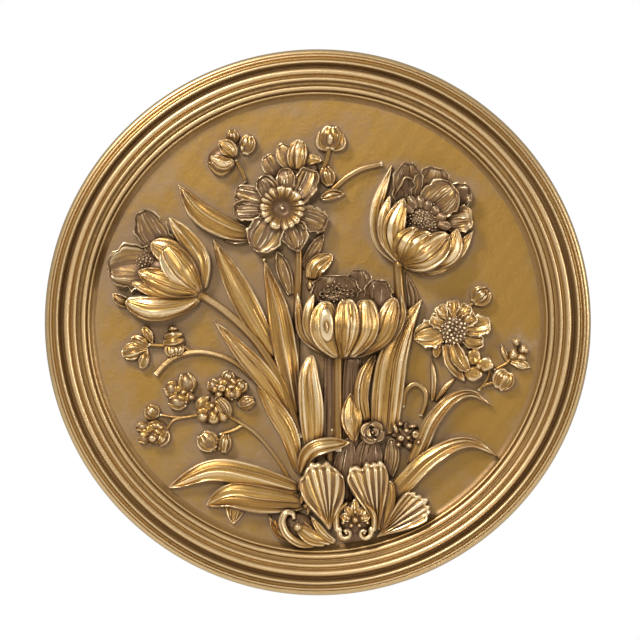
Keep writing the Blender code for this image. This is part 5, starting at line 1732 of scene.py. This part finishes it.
@dataclass
class Shells(Group):
    """The folded leaf, the two shells, the curled lobe and the ribbed fan at the foot of the bouquet."""

    name: str = "shells"
    seed: int = 25

    def carve(self, c: Carving) -> None:
        """Carve the fan, the right shell, the left shell over it, the lobe and the folded leaf.

        Args:
            c: The carving.
        """
        c.fan(25.6, -97.4, 28.6, -52, 19.5, 3.4, 6.6, flutes=7, flute=1.2, scallop=0.05, wave=0.02, lip=0.5,
              bulge=0.25, drops=(0.12, 0.14), stain=0.15)
        c.fan(27.8, -94.6, 32.2, 12, 21, 5.2, 8.6, flutes=7, flute=1.15, lip=1.0, bulge=0.2, wave=0.03,
              scallop=0.03, drops=(0.16, 0.18), stain=0.1)
        c.fan(5.4, -94.4, 31.4, 8, 25, 5.2, 9.0, flutes=7, flute=1.05, lip=1.2, bulge=0.42, wave=0.025,
              scallop=0.025, drops=(0.2, 0.3), stain=0.1)
        for spine, half in (([(-2, -75, 5), (-6.6, -71.6, 6.8), (-8.6, -75.4, 6.2)], 1.3),
                            ([(-1, -79.6, 5), (-5.6, -77.6, 6.8), (-7.6, -81.4, 6)], 1.5),
                            ([(1, -84, 5), (-3.4, -82.6, 6.6), (-4.6, -86.4, 5.6)], 1.3),
                            ([(27, -85.6, 5), (20, -80, 7.2), (14.2, -75.4, 6)], 1.1)):
            c.blade(spine, half, SMALL, Tip.ROUND, foot=0.6, grid=(24, 13))
        c.disc(-5.2, -82.4, 1.5, 1.3, 7.4, base=4, sides=18, rings=7)
        c.disc(-6.8, -75.8, 1.2, 1.5, 7.2, base=4, sides=18, rings=7)
        c.blade([(28.5, -95, 4), (31.2, -84, 7.2), (32.4, -71, 7.2)], 3.2, SMALL.but(lip=0.4), Tip.ROUND,
                foot=0.3, peak=0.7)
        c.blade([(-8, -68.6, 4), (-4.4, -59, 7.2), (2.6, -55.4, 8.6), (14.6, -54, 5.2)], 3.8,
                LEAF.but(fold=0.7), Tip.LEAF, grid=(50, 31))


@dataclass
class MedallionAndScrolls(Group):
    """The round boss with two small volutes, and the large scroll on its left."""

    name: str = "medallion_and_scrolls"
    seed: int = 26
    boss: tuple[float, float] = (16.8, -89.0)

    def carve(self, c: Carving) -> None:
        """Carve the boss, its leafy crest and volutes, and the large scroll.

        Args:
            c: The carving.
        """
        x, y = self.boss
        rolled = Section(crown=0.9, lip=0.2, keel=0.2, tone=-0.4)
        c.disc(-8.4, -92.4, 9.5, 6.4, 4.6, turn=-28, rough=0.25, stain=0.6, sides=48, rings=16)
        c.blade([(8, -99, 3.8), (2, -94.4, 5.6), (-3.4, -86.4, 4.6)], 2.2, SIDE, foot=0.7, grid=(34, 15))
        c.blade([(6, -99.6, 3.8), (-1.4, -96, 5.6), (-6.6, -88.4, 4.6)], 2.0, SIDE, foot=0.7, grid=(34, 15))
        c.blade([(-8, -99, 3.2), (-17.5, -94.6, 4.6), (-22.2, -86.6, 3.4)], 2.2, LEAF, foot=0.6,
                grid=(34, 31))
        c.blade([(-7, -98.4, 3.8), (-15.6, -95, 5.2), (-19.6, -88.6, 4)], 1.5, LEAF.but(folds=2), foot=0.6,
                grid=(34, 31))
        c.disc(x, y - 4.6, 7.6, 5.0, 5.2, base=3.6, stain=1.0, sides=48)
        c.disc(x, y + 1.4, 8.2, 7.2, 7.2, base=5.0, rough=0.45, stain=0.3, sides=64, rings=22)
        for k, turn in enumerate((-74, 74, -42, 42, 0)):
            a = math.radians(turn)
            spine = [(x - 1.5 * math.sin(a), y + 1.0, 7), (x - 4.2 * math.sin(a), y + 5.4 * math.cos(a), 8.8),
                     (x - 7.4 * math.sin(a), y + 9.0 * math.cos(a) + 1.2 * (k == 4), 7.4)]
            c.blade(spine, 2.2, LEAF.but(folds=2, fold=0.45), Tip.LEAF, grid=(26, 15))
        for dx, dy, size in ((0, 0.4, 1.9), (-3.2, 1.2, 1.5), (3.2, 1.2, 1.5), (-1.8, -2.0, 1.3),
                             (1.8, -2.0, 1.3), (-5.4, -0.8, 1.2), (5.4, -0.8, 1.2), (0, 4.0, 1.4)):
            c.disc(x + dx, y + dy, size, size, 9.2, base=6.0, sides=20, rings=8)
        for side in (-1, 1):
            volute = [(x + side * 3.4, -80.6, 7.6), (x + side * 8.0, -85.6, 8.8),
                      (x + side * 8.2, -92.4, 9.0)]
            volute += spiral(x + side * 4.0, -94.4, 3.5, 0.9, 90 - side * 60, 90 - side * 420, (9.0, 9.6), 12)
            c.blade(volute, 1.35, rolled, foot=0.7, peak=0.4, tip=0.6, grid=(70, 15))
            c.disc(x + side * 4.0, -94.4, 1.0, 1.0, 9.8, base=6, sides=16, rings=6)
        c.blade([(4, -99, 4), (-3, -96.4, 6.4), (-9.4, -91.4, 7.2)], 3.6, SIDE.but(crown=1.5), Tip.ROUND,
                foot=0.6, grid=(34, 31))
        c.disc(-8.9, -92, 2.3, 2.3, 9.0, base=5, sides=24, rings=10)
        hook = [(-1, -100.2, 4.2), (-8, -99.4, 6), (-13.6, -95.4, 7.2), (-16, -89.8, 7.8),
                (-14.4, -85.6, 7.8), (-11.4, -85.8, 7.4), (-10.6, -88.4, 7)]
        c.blade(hook, 1.9, rolled, foot=0.7, peak=0.4, tip=0.5, grid=(56, 17))


GROUPS = (UpperBuds, Daffodil, BackFlower, LeftTulip, RightTulip, CentreTulip, LongLeaves, MainStems,
          LeftSprigs, LowerLeftLeaves, Anemone, RightSprigs, RightLeaves, RosetteAndBerries, Shells,
          MedallionAndScrolls)


class HeightMap:
    """How high the front stands, over a fine square grid: it tells where the glaze gathers and where shade
    and highlights are painted.
    """

    MARGIN = 30

    def __init__(self, radii: np.ndarray, heights: np.ndarray, cell: float = 0.0006) -> None:
        """Start from the frame and the bare field.

        Args:
            radii: Radii along the frame's face.
            heights: Its height at each, out from the wall.
            cell: The side of a cell, in metres.
        """
        self.cell = cell
        self.count = 2 * int(PLAQUE_RADIUS / cell + self.MARGIN)
        axis = (np.arange(self.count) - 0.5 * (self.count - 1)) * cell
        reach = np.hypot(axis[:, None], axis[None, :])
        self.heights = np.interp(reach, radii, heights, right=0.0)
        self.heights[reach < FIELD_RADIUS] = FIELD_THICKNESS

    @staticmethod
    def denser(surface: np.ndarray, times: int) -> np.ndarray:
        """A grid of points with more rows between its rows.

        Args:
            surface: The points, row after row.
            times: How many rows there are for each one.

        Returns:
            The denser grid.
        """
        if len(surface) < 2:
            return surface
        rows = np.linspace(0, len(surface) - 1, times * (len(surface) - 1) + 1)
        low = np.minimum(rows.astype(int), len(surface) - 2)
        share = (rows - low)[:, None, None]
        return surface[low] * (1 - share) + surface[low + 1] * share

    def cells(self, across: np.ndarray, up: np.ndarray) -> tuple[np.ndarray, np.ndarray]:
        """The cells that points lie in.

        Args:
            across: The points' places to the right, in metres.
            up: Their places upwards.

        Returns:
            The cells' first and second indices.
        """
        half = 0.5 * (self.count - 1)
        pair = [np.clip(np.rint(v / self.cell + half).astype(int), 0, self.count - 1) for v in (across, up)]
        return pair[0], pair[1]

    def raise_to(self, surface: np.ndarray) -> None:
        """Lift the map to a carved surface.

        Args:
            surface: The surface's points, in units.
        """
        points = self.denser(self.denser(surface, 4).swapaxes(0, 1), 3).reshape(-1, 3)
        index = self.cells(points[:, 0] * UNIT, points[:, 1] * UNIT)
        np.maximum.at(self.heights, index, FIELD_THICKNESS + points[:, 2] * UNIT)

    def blurred(self, spread: float) -> np.ndarray:
        """The heights, blurred.

        Args:
            spread: Over which distance, in metres.

        Returns:
            The blurred heights, on the same grid.
        """
        rate = np.fft.fftfreq(self.count, self.cell)
        damp = np.exp(-2 * (math.pi * spread * rate) ** 2)
        return np.fft.ifft2(np.fft.fft2(self.heights) * damp[:, None] * damp[None, :]).real


@dataclass(frozen=True)
class PatinaAndPaintedLight:
    """How the glaze lies, and where light and shade are painted: the glaze stays in hollows and is worn off
    crests, painted shade lies in the deepest hollows, under overlapping parts and at their contacts, and
    painted highlights lie on crests and raised forms.

    Near, mid and far are the distances over which heights are compared, and the depths say how far below
    its surroundings a point gathers all the glaze and painted shade; the hidden depth and gap say the same
    below the surface over a point, where shade under overlapping parts is painted. Proud has a share, a rise
    and a least value for each, and marks raised forms that are painted pale as worn gold and highlight.
    """

    near: float = 0.0011
    mid: float = 0.0028
    far: float = 0.0085
    near_depth: float = 0.0009
    mid_depth: float = 0.0030
    far_depth: float = 0.0060
    hidden_depth: float = 0.0012
    hidden_gap: float = 0.0004
    shares: tuple[float, float, float, float] = (0.35, 0.45, 0.35, 0.4)
    field_most: float = 0.62
    back: float = 0.004
    back_recess: float = 0.3
    crest_start: float = 0.35
    crest_depth: float = 0.0005
    proud_shares: tuple[float, float, float] = (0.4, 0.35, 0.25)
    proud_depths: tuple[float, float, float] = (0.0004, 0.0014, 0.005)
    proud_least: tuple[float, float, float] = (-0.5, -0.5, 0.0)

    def apply(self, pieces: list[bpy.types.Object], heights: HeightMap) -> None:
        """Write the attributes recess, proud and crest on each piece.

        Args:
            pieces: The pieces of the plaque.
            heights: The map of its front.
        """
        # The first layer paints shade under overlapping parts; the blurred layers lay glaze in hollows and
        # painted shade at contacts
        layers = [(heights.heights - self.hidden_gap, self.hidden_depth),
                  (heights.blurred(self.near), self.near_depth), (heights.blurred(self.mid), self.mid_depth),
                  (heights.blurred(self.far), self.far_depth)]
        for piece in pieces:
            mesh = piece.data
            flat = np.empty(3 * len(mesh.vertices))
            mesh.vertices.foreach_get("co", flat)
            points = flat.reshape(-1, 3)
            index = heights.cells(points[:, 0], points[:, 2])
            recess = np.zeros(len(points))
            for share, (layer, depth) in zip(self.shares, layers):
                recess += share * np.clip((layer[index] + points[:, 1]) / depth, 0, 1)
            if piece.name == Moulding.name:
                recess *= Moulding.recess_share
            if piece.name == Field.name:
                recess = self.field_most * np.tanh(recess / self.field_most)
            recess[points[:, 1] > -self.back] = self.back_recess
            self.write(mesh, "recess", recess)
            # proud: how far a point stands over its surroundings, painted pale as worn gold and as a painted
            # highlight
            over = [-points[:, 1] - layer[index] for layer, _ in layers[1:]]
            terms = zip(over, self.proud_shares, self.proud_depths, self.proud_least)
            proud = sum(share * np.clip(rise / depth, least, 1) for rise, share, depth, least in terms)
            self.write(mesh, "proud", proud)
            # crest: how far a point stands out of its neighbours, painted pale as worn gold and as a painted
            # highlight; none on the field
            share = 0.0 if piece.name == Field.name else 1.0
            above = np.clip(self.crest_start + over[0] / self.crest_depth, 0, 1)
            self.write(mesh, "crest", share * above * self.crests(mesh, points))

    @staticmethod
    def write(mesh: bpy.types.Mesh, name: str, values: np.ndarray) -> None:
        """Keep a number at each point of a mesh."""
        mesh.attributes.new(name, "FLOAT", "POINT").data.foreach_set("value", values)

    @staticmethod
    def crests(mesh: bpy.types.Mesh, points: np.ndarray) -> np.ndarray:
        """How far each point stands proud of its neighbours.

        Args:
            mesh: The mesh.
            points: Its points.

        Returns:
            The rise of each over its neighbours' middle, as a share of their distance.
        """
        ends = np.empty(2 * len(mesh.edges), int)
        mesh.edges.foreach_get("vertices", ends)
        first, second = ends.reshape(-1, 2).T
        normals = np.empty(3 * len(mesh.vertices))
        mesh.vertex_normals.foreach_get("vector", normals)
        count = np.bincount(ends, minlength=len(points)).clip(1)
        total = np.zeros_like(points)
        for axis in range(3):
            total[:, axis] = (np.bincount(first, points[second, axis], len(points))
                              + np.bincount(second, points[first, axis], len(points)))
        length = np.linalg.norm(points[first] - points[second], axis=1)
        size = (np.bincount(first, length, len(points)) + np.bincount(second, length, len(points))) / count
        away = ((points - total / count[:, None]) * normals.reshape(-1, 3)).sum(axis=1)
        return np.clip(away / size.clip(1e-6), -1, 1)


@dataclass(frozen=True)
class AreaLight:
    """A soft studio light that looks at the plaque."""

    name: str
    place: tuple[float, float, float]
    size: float
    power: float

    def build(self) -> None:
        """Hang the light."""
        data = bpy.data.lights.new(self.name, "AREA")
        data.shape = "DISK"
        data.size = self.size
        data.energy = self.power
        light = bpy.data.objects.new(self.name, data)
        light.location = self.place
        light.rotation_euler = (-light.location).to_track_quat("-Z", "Y").to_euler()
        bpy.context.scene.collection.objects.link(light)


@dataclass(frozen=True)
class Studio:
    """The camera, the lights, the pale surround and the floor."""

    lens: float = 150.0
    sensor: float = 36.0
    glow: float = 0.28
    floor_drop: float = 0.60
    floor_radius: float = 2.6
    floor_sides: int = 96
    crest_depth: float = 0.0086
    lights: tuple[AreaLight, ...] = (
        AreaLight("key", (-1.3, -1.7, 2.0), 0.7, 74.0),
        AreaLight("front", (-0.5, -2.9, 1.0), 0.5, 18.0),
        AreaLight("fill", (2.1, -1.3, 0.4), 0.9, 20.0),
        AreaLight("bounce", (0.4, -1.5, -1.9), 0.9, 10.0))

    def build(self) -> None:
        """Set the whole stage up."""
        for light in self.lights:
            light.build()
        self.hang_camera()
        self.light_world()
        self.lay_floor()
        bpy.context.scene.view_settings.view_transform = "Standard"

    def hang_camera(self) -> None:
        """Place the camera so that the plaque fills the picture as in the photograph."""
        scale = PLAQUE_RADIUS / PHOTO_RADIUS
        data = bpy.data.cameras.new("camera")
        data.lens = self.lens
        data.sensor_width = self.sensor
        camera = bpy.data.objects.new("camera", data)
        distance = PHOTO_SIDE * scale * self.lens / self.sensor
        camera.location = ((PHOTO_SIDE / 2 - PHOTO_CENTRE[0]) * scale, -self.crest_depth - distance,
                           (PHOTO_CENTRE[1] - PHOTO_SIDE / 2) * scale)
        camera.rotation_euler = (math.radians(90), 0, 0)
        bpy.context.scene.collection.objects.link(camera)
        bpy.context.scene.camera = camera

    def light_world(self) -> None:
        """Show the surround white, and let it light the plaque more dimly."""
        world = bpy.data.worlds.new("surround")
        world.use_nodes = True
        bpy.context.scene.world = world
        nodes = Nodes(world.node_tree)
        seen = nodes.node("ShaderNodeLightPath").outputs["Is Camera Ray"]
        strength = nodes.plus(self.glow, nodes.times(seen, 1.0 - self.glow))
        background = world.node_tree.nodes["Background"]
        background.inputs["Color"].default_value = (1, 1, 1, 1)
        world.node_tree.links.new(strength, background.inputs["Strength"])

    def lay_floor(self) -> None:
        """Lay a plain pale floor well below the plaque."""
        angles = [2 * math.pi * k / self.floor_sides for k in range(self.floor_sides)]
        ring = [(self.floor_radius * math.cos(a), self.floor_radius * math.sin(a), -self.floor_drop)
                for a in angles]
        mesh = bpy.data.meshes.new("floor")
        mesh.from_pydata(ring, [], [list(range(self.floor_sides))])
        pale = bpy.data.materials.new("pale floor")
        pale.use_nodes = True
        shader = pale.node_tree.nodes["Principled BSDF"]
        shader.inputs["Base Color"].default_value = (0.8, 0.8, 0.8, 1)
        shader.inputs["Roughness"].default_value = 0.9
        mesh.materials.append(pale)
        new_object("floor", mesh)


def settle(piece: bpy.types.Object) -> None:
    """Smooth a finished piece and hand it to the frame.

    Args:
        piece: The piece.
    """
    piece.data.shade_smooth()
    piece.data.set_sharp_from_angle(angle=SHARP_ANGLE)
    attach(piece, "root")
    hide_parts("plaque")
    log.info("%s: %d faces", piece.name, len(piece.data.polygons))


def main() -> None:
    """Build the plaque and its stage."""
    logging.basicConfig(level=logging.INFO, format="%(message)s")
    trees = Trees(turning_tree(), stem_tree(), stamen_tree())
    finishes = {finish.name: finish.material() for finish in (RELIEF_GOLD, FIELD_GOLD, FRAME_GOLD)}
    moulding = Moulding()
    pieces = [moulding.build(trees, finishes[FRAME_GOLD.name])]
    heights = HeightMap(*moulding.face())
    for group in (Field(), *(kind() for kind in GROUPS)):
        piece, surfaces = group.build(trees, finishes[group.finish.name])
        for surface in surfaces:
            heights.raise_to(surface)
        pieces.append(piece)
    PatinaAndPaintedLight().apply(pieces, heights)
    for piece in pieces:
        settle(piece)
    Studio().build()


if __name__ == "__main__":
    main()
